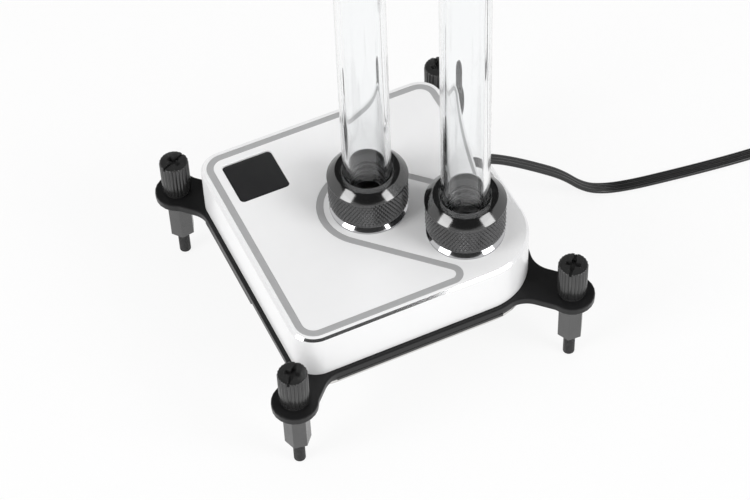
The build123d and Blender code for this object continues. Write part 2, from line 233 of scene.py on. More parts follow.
# Meshes


def link(name: str, data: bpy.types.ID) -> bpy.types.Object:
    """Makes an object of the data and puts it in the scene."""
    made = bpy.data.objects.new(name, data)
    bpy.context.collection.objects.link(made)
    return made


class Surface:
    """Vertices and faces of one piece in millimetres, gathered ring by ring."""

    def __init__(self) -> None:
        """Starts an empty surface."""
        self.spots: list[Point3] = []
        self.faces: list[tuple[int, ...]] = []
        self.marks: list[int] = []

    def ring(self, points: Sequence[Point3]) -> list[int]:
        """Adds points and returns their numbers."""
        first = len(self.spots)
        self.spots.extend(tuple(point) for point in points)
        return list(range(first, len(self.spots)))

    def face(self, corners: Sequence[int], mark: int = 0) -> None:
        """Adds one face with its finish's number."""
        self.faces.append(tuple(corners))
        self.marks.append(mark)

    def bridge(
        self, lower: Sequence[int], upper: Sequence[int], mark: int = 0, closed: bool = True
    ) -> None:
        """Joins two rings of equal length with quads.

        Args:
            lower: The first ring.
            upper: The ring that the faces lead to.
            mark: Number of the finish.
            closed: Whether the rings run all round.
        """
        count = len(lower)
        for i in range(count if closed else count - 1):
            j = (i + 1) % count
            self.face((lower[i], lower[j], upper[j], upper[i]), mark)

    def stack(self, rings: Sequence[Sequence[Point3]], mark: int = 0) -> list[list[int]]:
        """Adds rings and joins each to the next.

        Args:
            rings: Rings of equal length, from the first to the last.
            mark: Number of the finish.

        Returns:
            The numbers of each ring's points.
        """
        made = [self.ring(points) for points in rings]
        for lower, upper in zip(made, made[1:]):
            self.bridge(lower, upper, mark)
        return made

    def flat(self, loops: Sequence[Sequence[int]], up: bool, mark: int = 0) -> None:
        """Fills a level face, the first loop being its outside and the others its holes.

        Args:
            loops: Numbers of the points of each loop.
            up: Whether the face looks up.
            mark: Number of the finish.
        """
        numbers = [number for loop in loops for number in loop]
        outlines = [[Vector(self.spots[number]) for number in loop] for loop in loops]
        for triple in tessellate_polygon(outlines):
            a, b, c = (numbers[i] for i in triple)
            first = Vector(self.spots[b]) - Vector(self.spots[a])
            second = Vector(self.spots[c]) - Vector(self.spots[a])
            if (first.cross(second).z > 0) != up:
                b, c = c, b
            self.face((a, b, c), mark)

    def turn(
        self,
        profile: Sequence[Point2],
        x: float,
        y: float,
        steps: int = 96,
        closed: bool = True,
        marks: Callable[[Point2], int] | None = None,
    ) -> None:
        """Turns a (radius, height) profile round an upright axis.

        Args:
            profile: Points of the profile, counter-clockwise with the radius to the right.
            x: The axis in X.
            y: The axis in Y.
            steps: Straight pieces round the axis.
            closed: Whether the profile's last point joins its first.
            marks: Gives the finish's number from the middle of each stretch of the profile.
        """
        rings = [
            self.ring(circle(x, y, r, z, steps) if r > ON_AXIS else [(x, y, z)]) for r, z in profile
        ]
        pairs = list(zip(range(len(rings)), range(1, len(rings))))
        if closed:
            pairs.append((len(rings) - 1, 0))
        for low, high in pairs:
            middle = ((profile[low][0] + profile[high][0]) / 2, (profile[low][1] + profile[high][1]) / 2)
            mark = marks(middle) if marks else 0
            lower, upper = rings[low], rings[high]
            if len(lower) == 1 and len(upper) == 1:
                continue
            if len(lower) == 1 or len(upper) == 1:
                for i in range(steps):
                    j = (i + 1) % steps
                    if len(lower) == 1:
                        self.face((lower[0], upper[j], upper[i]), mark)
                    else:
                        self.face((lower[i], lower[j], upper[0]), mark)
                continue
            self.bridge(lower, upper, mark)

    def piece(
        self, name: str, finishes: Sequence[bpy.types.Material], crease: float = 30.0
    ) -> bpy.types.Object:
        """Makes the piece, in metres, and puts it in the scene.

        Args:
            name: Name of the piece.
            finishes: Materials, in the order of the faces' numbers.
            crease: Angle in degrees over which an edge stays sharp.

        Returns:
            The piece with its materials and shading.
        """
        mesh = bpy.data.meshes.new(name)
        mesh.from_pydata([Vector(spot) * MM for spot in self.spots], [], self.faces)
        mesh.polygons.foreach_set("material_index", self.marks)
        mesh.polygons.foreach_set("use_smooth", [True] * len(self.faces))
        for finish in finishes:
            mesh.materials.append(finish)
        work = bmesh.new()
        work.from_mesh(mesh)
        bmesh.ops.remove_doubles(work, verts=work.verts, dist=1e-7)
        bmesh.ops.recalc_face_normals(work, faces=work.faces)
        work.to_mesh(mesh)
        work.free()
        mesh.set_sharp_from_angle(angle=math.radians(crease))
        mesh.validate()
        return link(name, mesh)


def hang(piece: bpy.types.Object, body: str, slot: str, *nodes: str) -> None:
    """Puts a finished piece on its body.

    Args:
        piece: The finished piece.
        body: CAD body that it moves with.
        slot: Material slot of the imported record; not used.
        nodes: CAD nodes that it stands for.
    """
    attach(piece, body)
    if nodes:
        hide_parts(*nodes)
    LOG.info("%s rides on %s", piece.name, body)


def dress(node: str, finish: bpy.types.Material) -> None:
    """Gives a CAD node its finish.

    Args:
        node: Name of the CAD node.
        finish: The material.
    """
    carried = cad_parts[node]
    for place in carried.material_slots:
        place.link = "OBJECT"
        place.material = finish
    LOG.info("%s keeps its CAD shape", node)


# Shader bench


class Bench:
    """A node tree with short ways to add, set and join nodes."""

    def __init__(self, tree: bpy.types.NodeTree) -> None:
        """Takes the tree to work on."""
        self.tree = tree

    def add(self, kind: str, **settings: object) -> bpy.types.Node:
        """Adds a node.

        Args:
            kind: Blender's name for the node's type.
            settings: Values of the node's own properties.

        Returns:
            The node.
        """
        node = self.tree.nodes.new(kind)
        for key, value in settings.items():
            setattr(node, key, value)
        return node

    def join(self, source: bpy.types.NodeSocket, target: bpy.types.NodeSocket) -> None:
        """Links two sockets."""
        self.tree.links.new(source, target)

    def maths(self, operation: str, first: object, second: object) -> bpy.types.NodeSocket:
        """A sum, product or the like of two values, each a number or a socket."""
        node = self.add("ShaderNodeMath", operation=operation)
        for place, value in zip(node.inputs, (first, second)):
            if isinstance(value, bpy.types.NodeSocket):
                self.join(value, place)
            else:
                place.default_value = value
        return node.outputs[0]

    def blend(self, mask: bpy.types.NodeSocket, first: Point3, second: Point3) -> bpy.types.NodeSocket:
        """A colour between two, by a mask."""
        node = self.add("ShaderNodeMix", data_type="RGBA")
        self.join(mask, node.inputs[0])
        node.inputs[6].default_value = (*first, 1.0)
        node.inputs[7].default_value = (*second, 1.0)
        return node.outputs[2]


def effect(name: str, inputs: dict[str, float], outputs: Sequence[str]) -> tuple[Bench, object, object]:
    """Starts a shader node group.

    Args:
        name: Name of the group.
        inputs: Each input's name and default value.
        outputs: Names of the value outputs.

    Returns:
        The bench to build on, and the group's input and output nodes.
    """
    tree = bpy.data.node_groups.new(name, "ShaderNodeTree")
    for label, value in inputs.items():
        place = tree.interface.new_socket(label, in_out="INPUT", socket_type="NodeSocketFloat")
        place.default_value = value
    for label in outputs:
        tree.interface.new_socket(label, in_out="OUTPUT", socket_type="NodeSocketFloat")
    bench = Bench(tree)
    return bench, bench.add("NodeGroupInput"), bench.add("NodeGroupOutput")


def grain_effect() -> bpy.types.NodeTree:
    """Fine grain of moulded, painted or blasted surfaces.

    Returns:
        A group with the grain's size in millimetres as input, and its height and a soft
        mottled mask as outputs.
    """
    name = "fine_grain"
    if name in bpy.data.node_groups:
        return bpy.data.node_groups[name]
    bench, given, out = effect(name, {"Size": 0.2}, ("Height", "Mottle"))
    place = bench.add("ShaderNodeTexCoord")
    scale = bench.maths("DIVIDE", 1000.0, given.outputs["Size"])
    fine = bench.add("ShaderNodeTexNoise")
    fine.inputs["Detail"].default_value = 3.0
    bench.join(place.outputs["Object"], fine.inputs["Vector"])
    bench.join(scale, fine.inputs["Scale"])
    broad = bench.add("ShaderNodeTexNoise")
    broad.inputs["Detail"].default_value = 2.0
    bench.join(place.outputs["Object"], broad.inputs["Vector"])
    bench.join(bench.maths("DIVIDE", scale, 45.0), broad.inputs["Scale"])
    bench.join(fine.outputs["Fac"], out.inputs["Height"])
    bench.join(broad.outputs["Fac"], out.inputs["Mottle"])
    return bench.tree


def turning_effect() -> bpy.types.NodeTree:
    """Fine rings that a lathe leaves round an upright axis.

    Returns:
        A group with the axis in metres and the rings' pitch in millimetres as inputs, and
        the rings' height as output.
    """
    name = "turning_rings"
    if name in bpy.data.node_groups:
        return bpy.data.node_groups[name]
    bench, given, out = effect(name, {"Axis X": 0.0, "Axis Y": 0.0, "Pitch": 0.2}, ("Height",))
    place = bench.add("ShaderNodeTexCoord")
    apart = bench.add("ShaderNodeSeparateXYZ")
    bench.join(place.outputs["Object"], apart.inputs[0])
    side = bench.maths("SUBTRACT", apart.outputs[0], given.outputs["Axis X"])
    depth = bench.maths("SUBTRACT", apart.outputs[1], given.outputs["Axis Y"])
    square = bench.maths("ADD", bench.maths("MULTIPLY", side, side), bench.maths("MULTIPLY", depth, depth))
    reach = bench.maths("POWER", square, 0.5)
    along = bench.maths("SUBTRACT", reach, apart.outputs[2])
    rings = bench.add("ShaderNodeTexNoise", noise_dimensions="1D")
    rings.inputs["Detail"].default_value = 2.0
    scale = bench.maths("DIVIDE", 1000.0, given.outputs["Pitch"])
    bench.join(bench.maths("MULTIPLY", along, scale), rings.inputs["W"])
    rings.inputs["Scale"].default_value = 1.0
    bench.join(rings.outputs["Fac"], out.inputs["Height"])
    return bench.tree


# Finishes


@dataclass(frozen=True)
class Finish:
    """A surface of one substance with fine grain: base of the other finishes."""

    name: str
    colour: Point3
    shade: Point3
    roughness: float
    rough_spread: float = 0.06
    metallic: float = 0.0
    specular: float = 0.5
    grain: float = 0.2
    relief: float = 0.002

    def material(self) -> bpy.types.Material:
        """The material, made at its first use."""
        title = "look_" + self.name
        if title in bpy.data.materials:
            return bpy.data.materials[title]
        made = bpy.data.materials.new(title)
        made.use_nodes = True
        bench = Bench(made.node_tree)
        shader = made.node_tree.nodes["Principled BSDF"]
        self.plain_values(shader)
        self.detail(bench, shader)
        return made

    def plain_values(self, shader: bpy.types.Node) -> None:
        """Sets the values that are the same all over the surface."""
        shader.inputs["Metallic"].default_value = self.metallic
        shader.inputs["Specular IOR Level"].default_value = self.specular

    def detail(self, bench: Bench, shader: bpy.types.Node) -> None:
        """Adds mottled colour, uneven gloss and grain.

        Args:
            bench: The material's tree.
            shader: Its main shader.
        """
        grain = bench.add("ShaderNodeGroup", node_tree=grain_effect())
        grain.inputs["Size"].default_value = self.grain
        colour = bench.blend(grain.outputs["Mottle"], self.colour, self.shade)
        bench.join(colour, shader.inputs["Base Color"])
        gloss, height = self.patterns(bench, grain)
        spread = bench.maths("MULTIPLY", gloss, self.rough_spread)
        rough = bench.maths("ADD", spread, self.roughness - self.rough_spread / 2)
        bench.join(rough, shader.inputs["Roughness"])
        bump = bench.add("ShaderNodeBump")
        bump.inputs["Strength"].default_value = 1.0
        bump.inputs["Distance"].default_value = self.relief * MM
        bench.join(height, bump.inputs["Height"])
        bench.join(bump.outputs["Normal"], shader.inputs["Normal"])

    def patterns(
        self, bench: Bench, grain: bpy.types.Node
    ) -> tuple[bpy.types.NodeSocket, bpy.types.NodeSocket]:
        """The mask of the uneven gloss and the height of the relief, each from 0 to 1."""
        return grain.outputs["Mottle"], grain.outputs["Height"]


@dataclass(frozen=True)
class TurnedFinish(Finish):
    """A lathe-turned surface round one port's axis."""

    axis_x: float = 0.0
    axis_y: float = 0.0
    pitch: float = 0.15

    def patterns(
        self, bench: Bench, grain: bpy.types.Node
    ) -> tuple[bpy.types.NodeSocket, bpy.types.NodeSocket]:
        """The tool's rings, for both the gloss and the relief."""
        rings = bench.add("ShaderNodeGroup", node_tree=turning_effect())
        rings.inputs["Axis X"].default_value = self.axis_x * MM
        rings.inputs["Axis Y"].default_value = self.axis_y * MM
        rings.inputs["Pitch"].default_value = self.pitch
        return rings.outputs["Height"], rings.outputs["Height"]


@dataclass(frozen=True)
class ClearFinish(Finish):
    """Clear polished tube with the faintest haze."""

    refraction: float = 1.49

    def plain_values(self, shader: bpy.types.Node) -> None:
        """Sets the tube's transmission and index."""
        shader.inputs["Metallic"].default_value = 0.0
        shader.inputs["Transmission Weight"].default_value = 1.0
        shader.inputs["IOR"].default_value = self.refraction


WHITE_SHELL = Finish(
    "white_shell", (0.885, 0.885, 0.888), (0.868, 0.868, 0.872), 0.24,
    rough_spread=0.05, grain=0.12, relief=0.0006,
)
POLISHED_EDGE = Finish(
    "polished_edge", (0.86, 0.86, 0.865), (0.80, 0.80, 0.81), 0.09,
    rough_spread=0.04, metallic=1.0, grain=0.1, relief=0.0005,
)
LIGHT_BAR = Finish(
    "light_bar", (0.385, 0.385, 0.39), (0.41, 0.41, 0.415), 0.5, grain=0.08, relief=0.001
)
BADGE_BLACK = Finish(
    "badge_black", (0.016, 0.016, 0.017), (0.021, 0.021, 0.022), 0.42,
    specular=0.35, grain=0.06, relief=0.0015,
)
BRACKET_BLACK = Finish(
    "bracket_black", (0.010, 0.010, 0.0104), (0.013, 0.013, 0.0134), 0.32,
    rough_spread=0.1, specular=0.28, grain=0.16, relief=0.006,
)
STANDOFF_BLACK = Finish(
    "standoff_black", (0.14, 0.14, 0.14), (0.105, 0.105, 0.105), 0.26,
    rough_spread=0.1, metallic=0.9, grain=0.12, relief=0.003,
)
NUT_BLACK = Finish(
    "nut_black", (0.088, 0.088, 0.088), (0.065, 0.065, 0.065), 0.22,
    rough_spread=0.1, metallic=0.7, grain=0.1, relief=0.003,
)
WASHER_BLACK = Finish(
    "washer_black", (0.02, 0.02, 0.02), (0.026, 0.026, 0.026), 0.5,
    grain=0.1, relief=0.002,
)
ACETAL_BLACK = Finish(
    "acetal_black", (0.018, 0.018, 0.018), (0.026, 0.026, 0.026), 0.34,
    grain=0.2, relief=0.003,
)
RUBBER = Finish(
    "seal_rubber", (0.012, 0.012, 0.012), (0.02, 0.02, 0.02), 0.32,
    specular=0.6, grain=0.1, relief=0.002,
)
SLIP_BLACK = Finish(
    "slip_black", (0.014, 0.014, 0.014), (0.02, 0.02, 0.02), 0.3,
    grain=0.1, relief=0.002,
)
NICKEL = Finish(
    "nickel_plate", (0.72, 0.71, 0.695), (0.65, 0.64, 0.625), 0.24,
    rough_spread=0.12, metallic=1.0, grain=0.3, relief=0.0012,
)
STEEL_SHEET = Finish(
    "steel_sheet", (0.6, 0.6, 0.6), (0.52, 0.52, 0.52), 0.3,
    rough_spread=0.1, metallic=1.0, grain=0.2, relief=0.001,
)
SCREW_BLACK = Finish(
    "screw_black", (0.05, 0.05, 0.052), (0.08, 0.08, 0.08), 0.32,
    rough_spread=0.12, metallic=1.0, grain=0.12, relief=0.002,
)
BOARD_WHITE = Finish(
    "board_white", (0.72, 0.72, 0.69), (0.66, 0.66, 0.63), 0.45,
    grain=0.15, relief=0.001,
)
CHIP_LENS = Finish(
    "chip_lens", (0.86, 0.83, 0.62), (0.82, 0.78, 0.55), 0.35,
    grain=0.05, relief=0.0005,
)
JACKET = Finish(
    "lead_jacket", (0.012, 0.012, 0.0125), (0.02, 0.02, 0.02), 0.28,
    rough_spread=0.1, specular=0.4, grain=0.25, relief=0.006,
)
PLUG_BLACK = Finish(
    "plug_black", (0.018, 0.018, 0.018), (0.026, 0.026, 0.026), 0.4,
    grain=0.08, relief=0.002,
)
TIE_BLACK = Finish(
    "tie_black", (0.022, 0.022, 0.022), (0.03, 0.03, 0.03), 0.55,
    grain=0.3, relief=0.02,
)
CONTACT_GOLD = Finish(
    "contact_gold", (0.83, 0.62, 0.28), (0.75, 0.55, 0.24), 0.22,
    metallic=1.0, grain=0.1, relief=0.0008,
)
KNURL_BLACK = Finish(
    "knurl_black", (0.12, 0.12, 0.122), (0.08, 0.08, 0.08), 0.22,
    rough_spread=0.08, metallic=0.8, grain=0.12, relief=0.002,
)
CLEAR_TUBE = ClearFinish(
    "clear_tube", (0.985, 0.99, 0.992), (0.97, 0.978, 0.982), 0.012, rough_spread=0.01, grain=0.4,
    relief=0.0,
)


def turned_black(x: float, y: float, name: str) -> TurnedFinish:
    """Black anodised and turned, round one port's axis."""
    return TurnedFinish(
        name, (0.005, 0.005, 0.0052), (0.008, 0.008, 0.008), 0.11,
        rough_spread=0.04, specular=1.0, grain=0.3, relief=0.0012, axis_x=x, axis_y=y, pitch=0.12,
    )


def polished_ring(x: float, y: float, name: str) -> TurnedFinish:
    """Dark polished plating on the ring under a collar."""
    return TurnedFinish(
        name, (0.5, 0.5, 0.51), (0.42, 0.42, 0.43), 0.08,
        rough_spread=0.04, metallic=1.0, grain=0.3, relief=0.0005, axis_x=x, axis_y=y, pitch=0.1,
    )


# Cover


@dataclass
class Cover:
    """White shell with a polished edge, the light loop let into it and the bare badge plate."""

    corner: float = 6.4
    port_corner: float = 15.6
    edge: float = 0.6
    edge_rounding: float = 0.1
    wall: float = 1.8
    roof: float = 2.6
    light_width: float = 1.8
    light_inset: float = 2.35
    light_corner: float = 4.05
    light_turn: float = 2.3
    light_wrap: float = 12.2
    groove_depth: float = 1.4
    joint: float = 0.03
    badge_half: float = 6.7
    badge_corner: float = 1.2
    badge_sink: float = 0.5
    badge_thickness: float = 0.8
    boss_hole: float = 8.6
    foot_bevel: float = 0.15
    recess_bevel: float = 0.12
    light_bevel: float = 0.06
    corner_steps: int = 24
    badge_steps: int = 10
    hole_steps: int = 72
    box: NodeBox = field(default_factory=lambda: NodeBox.of("top_cover"))
    badge_box: NodeBox = field(default_factory=lambda: NodeBox.of("badge_plate"))
    ports: tuple[NodeBox, ...] = field(
        default_factory=lambda: tuple(NodeBox.of(port.value + "_coolant_tube") for port in Port)
    )

    def light_line(self) -> Outline:
        """Middle line of the light: round the cover and back in between the two ports.

        Returns:
            The outline, counter-clockwise.
        """
        side = self.box.half.x - self.light_inset
        corner = side - self.light_corner
        turn_y = side - self.light_turn
        turn_x = turn_y - math.sqrt(2) * (self.light_wrap + self.light_turn)
        return Outline((
            Arc(corner, corner, self.light_corner, 0, 90),
            Arc(-corner, corner, self.light_corner, 90, 90),
            Arc(-corner, -corner, self.light_corner, 180, 90),
            Arc(turn_x, -turn_y, self.light_turn, 270, 135),
            Arc(0.0, 0.0, self.light_wrap, 225, -180),
            Arc(turn_y, -turn_x, self.light_turn, 225, 135),
        ))

    def badge_outline(self) -> Outline:
        """Outline of the badge plate."""
        middle = self.badge_box.centre
        return rounded_rectangle(middle.x, middle.y, self.badge_half, self.badge_half, self.badge_corner)

    def build_shell(self) -> None:
        """Makes the shell with its bright edge, groove and recess."""
        surface = Surface()
        outline = block_outline(self.box.half.x, self.corner, self.port_corner)
        top, bottom = self.box.high.z, self.box.low.z
        ceiling = top - self.roof
        steps = self.corner_steps
        wall_rings = [
            outline.at(bottom, -self.foot_bevel, steps),
            outline.at(bottom + self.foot_bevel, 0.0, steps),
            outline.at(top - self.edge - self.edge_rounding, 0.0, steps),
            outline.at(top - self.edge, -self.edge_rounding * 0.25, steps),
        ]
        edge_rings = [
            wall_rings[-1],
            outline.at(top - self.edge_rounding * 0.25, -self.edge, steps),
        ]
        lip_ring = outline.at(top, -self.edge - self.edge_rounding, steps)
        walls = surface.stack(wall_rings)
        edges = surface.stack(edge_rings, mark=1)
        rim = surface.ring(lip_ring)
        surface.bridge(edges[-1], rim)
        light = self.light_line()
        half = self.light_width / 2
        groove = top - self.groove_depth
        groove_out = surface.stack([light.at(top, half, steps), light.at(groove, half, steps)])
        groove_in = surface.stack([light.at(groove, -half, steps), light.at(top, -half, steps)])
        surface.flat([groove_out[-1], groove_in[0]], up=True)
        badge = self.badge_outline()
        recess_floor = top - self.badge_sink - self.badge_thickness
        recess = surface.stack([
            badge.at(top, self.joint + self.recess_bevel, self.badge_steps),
            badge.at(top - self.recess_bevel, self.joint, self.badge_steps),
            badge.at(recess_floor, self.joint, self.badge_steps),
        ])
        surface.flat([recess[-1]], up=True)
        surface.flat([rim, groove_out[0]], up=True)
        inlet, outlet = (
            surface.stack([
                circle(port.centre.x, port.centre.y, self.boss_hole, z, self.hole_steps)
                for z in (top, ceiling)
            ])
            for port in self.ports
        )
        surface.flat([groove_in[-1], recess[0], inlet[0]], up=True)
        inner = block_outline(
            self.box.half.x - self.wall, self.corner - self.wall, self.port_corner - self.wall
        )
        inside = surface.stack([inner.at(ceiling, 0.0, steps), inner.at(bottom, 0.0, steps)])
        surface.flat([inside[0], inlet[-1], outlet[-1]], up=False)
        surface.flat([walls[0], inside[-1]], up=False)
        finishes = [WHITE_SHELL.material(), POLISHED_EDGE.material()]
        piece = surface.piece("cover_shell", finishes, crease=20.0)
        hang(piece, BLOCK, "white_shell", "top_cover")

    def build_light(self) -> None:
        """Makes the frosted bar that fills the groove."""
        surface = Surface()
        light = self.light_line()
        top = self.box.high.z
        half = self.light_width / 2 - self.joint
        low = top - self.groove_depth
        bevel, steps = self.light_bevel, self.corner_steps
        outer = surface.stack([
            light.at(low, half, steps),
            light.at(top - bevel, half, steps),
            light.at(top, half - bevel, steps),
        ])
        inner = surface.stack([
            light.at(top, bevel - half, steps),
            light.at(top - bevel, -half, steps),
            light.at(low, -half, steps),
        ])
        surface.flat([outer[-1], inner[0]], up=True)
        surface.flat([outer[0], inner[-1]], up=False)
        piece = surface.piece("light_bar", [LIGHT_BAR.material()])
        hang(piece, BLOCK, "grey_diffuser", "light_diffuser")

    def build_badge(self) -> None:
        """Makes the bare black plate that lies sunk in the cover."""
        surface = Surface()
        badge = self.badge_outline()
        low, high = self.badge_box.low.z, self.badge_box.high.z
        rings = surface.stack([
            badge.at(low, 0.0, self.badge_steps),
            badge.at(high - 0.1, 0.0, self.badge_steps),
            badge.at(high - 0.03, -0.03, self.badge_steps),
            badge.at(high, -0.1, self.badge_steps),
        ])
        surface.flat([rings[-1]], up=True)
        surface.flat([rings[0]], up=False)
        piece = surface.piece("badge_square", [BADGE_BLACK.material()])
        hang(piece, BLOCK, "black_badge", "badge_plate")


# Bracket


@dataclass
class Bracket:
    """Black steel frame with an arm and a lug to each stud."""

    arm_width: float = 10.6
    arm_fillet: float = 6.5
    lug_fillet: float = 3.0
    lug_radius: float = 5.8
    overhang: float = 1.1
    edge: float = 0.3
    opening: float = 27.8
    opening_corner: float = 5.4
    stud_hole: float = 1.6
    hole_steps: int = 32
    box: NodeBox = field(default_factory=lambda: NodeBox.of("mounting_bracket"))
    cover: NodeBox = field(default_factory=lambda: NodeBox.of("top_cover"))
    outlet: NodeBox = field(default_factory=lambda: NodeBox.of("outlet_coolant_tube"))

    def arm_arcs(self, toward: float, port_side: bool) -> list[Arc]:
        """Arcs from one side of the frame round an arm and its lug to the next side.

        Args:
            toward: Heading of the arm from the middle, in degrees.
            port_side: Whether the arm leaves the large round corner.

        Returns:
            The arcs, counter-clockwise.
        """
        stud = self.box.half.x - self.lug_radius
        reach = math.hypot(stud, stud)
        half = self.cover.half.x + self.overhang
        half_arm = self.arm_width / 2
        blend_side = half_arm + self.arm_fillet
        lug_side = half_arm + self.lug_fillet
        back = math.sqrt((self.lug_radius + self.lug_fillet) ** 2 - lug_side ** 2)
        lean = math.degrees(math.atan2(lug_side, back))
        if port_side:
            port_at = self.outlet.centre.x
            centre = math.hypot(port_at, port_at)
            radius = half - port_at
            along = math.sqrt((radius + self.arm_fillet) ** 2 - blend_side ** 2)
            open_turn = math.degrees(math.atan2(blend_side, along))
            root = centre + along
            meet = 180 - open_turn
            lead_in = [(centre, 0.0, radius, -45.0, 45.0 - open_turn)]
            lead_out = [(centre, 0.0, radius, open_turn, 45.0 - open_turn)]
        else:
            root = math.sqrt(2) * (half + self.arm_fillet) - blend_side
            meet = 135.0
            lead_in, lead_out = [], []
        local = lead_in + [
            (root, -blend_side, self.arm_fillet, meet, 90 - meet),
            (reach - back, -lug_side, self.lug_fillet, 90.0, lean - 90),
            (reach, 0.0, self.lug_radius, lean - 180, 360 - 2 * lean),
            (reach - back, lug_side, self.lug_fillet, -lean, lean - 90),
            (root, blend_side, self.arm_fillet, -90.0, 90 - meet),
        ] + lead_out
        turn = math.radians(toward)
        cosine, sine = math.cos(turn), math.sin(turn)
        return [
            Arc(u * cosine - w * sine, u * sine + w * cosine, r, start + toward, sweep)
            for u, w, r, start, sweep in local
        ]

    def build(self) -> None:
        """Makes the frame with softened edges."""
        surface = Surface()
        arcs: list[Arc] = []
        for toward, port_side in ((45, False), (135, False), (225, False), (315, True)):
            arcs += self.arm_arcs(toward, port_side)
        outline = Outline(tuple(arcs))
        low, high, edge = self.box.low.z, self.box.high.z, self.edge
        rings = surface.stack([
            outline.at(low, -edge),
            outline.at(low + edge * 0.35, -edge * 0.35),
            outline.at(low + edge, 0.0),
            outline.at(high - edge, 0.0),
            outline.at(high - edge * 0.35, -edge * 0.35),
            outline.at(high, -edge),
        ])
        opening = rounded_rectangle(0.0, 0.0, self.opening, self.opening, self.opening_corner)
        inside = surface.stack([opening.at(high), opening.at(low)])
        stud = self.box.half.x - self.lug_radius
        holes = [
            surface.stack([
                circle(sx * stud, sy * stud, self.stud_hole, z, self.hole_steps) for z in (high, low)
            ])
            for sx in (-1, 1) for sy in (-1, 1)
        ]
        surface.flat([rings[-1], inside[0]] + [hole[0] for hole in holes], up=True)
        surface.flat([rings[0], inside[-1]] + [hole[-1] for hole in holes], up=False)
        piece = surface.piece("bracket_frame", [BRACKET_BLACK.material()], crease=28.0)
        hang(piece, BLOCK, "black_steel", "mounting_bracket")


# Corner hardware


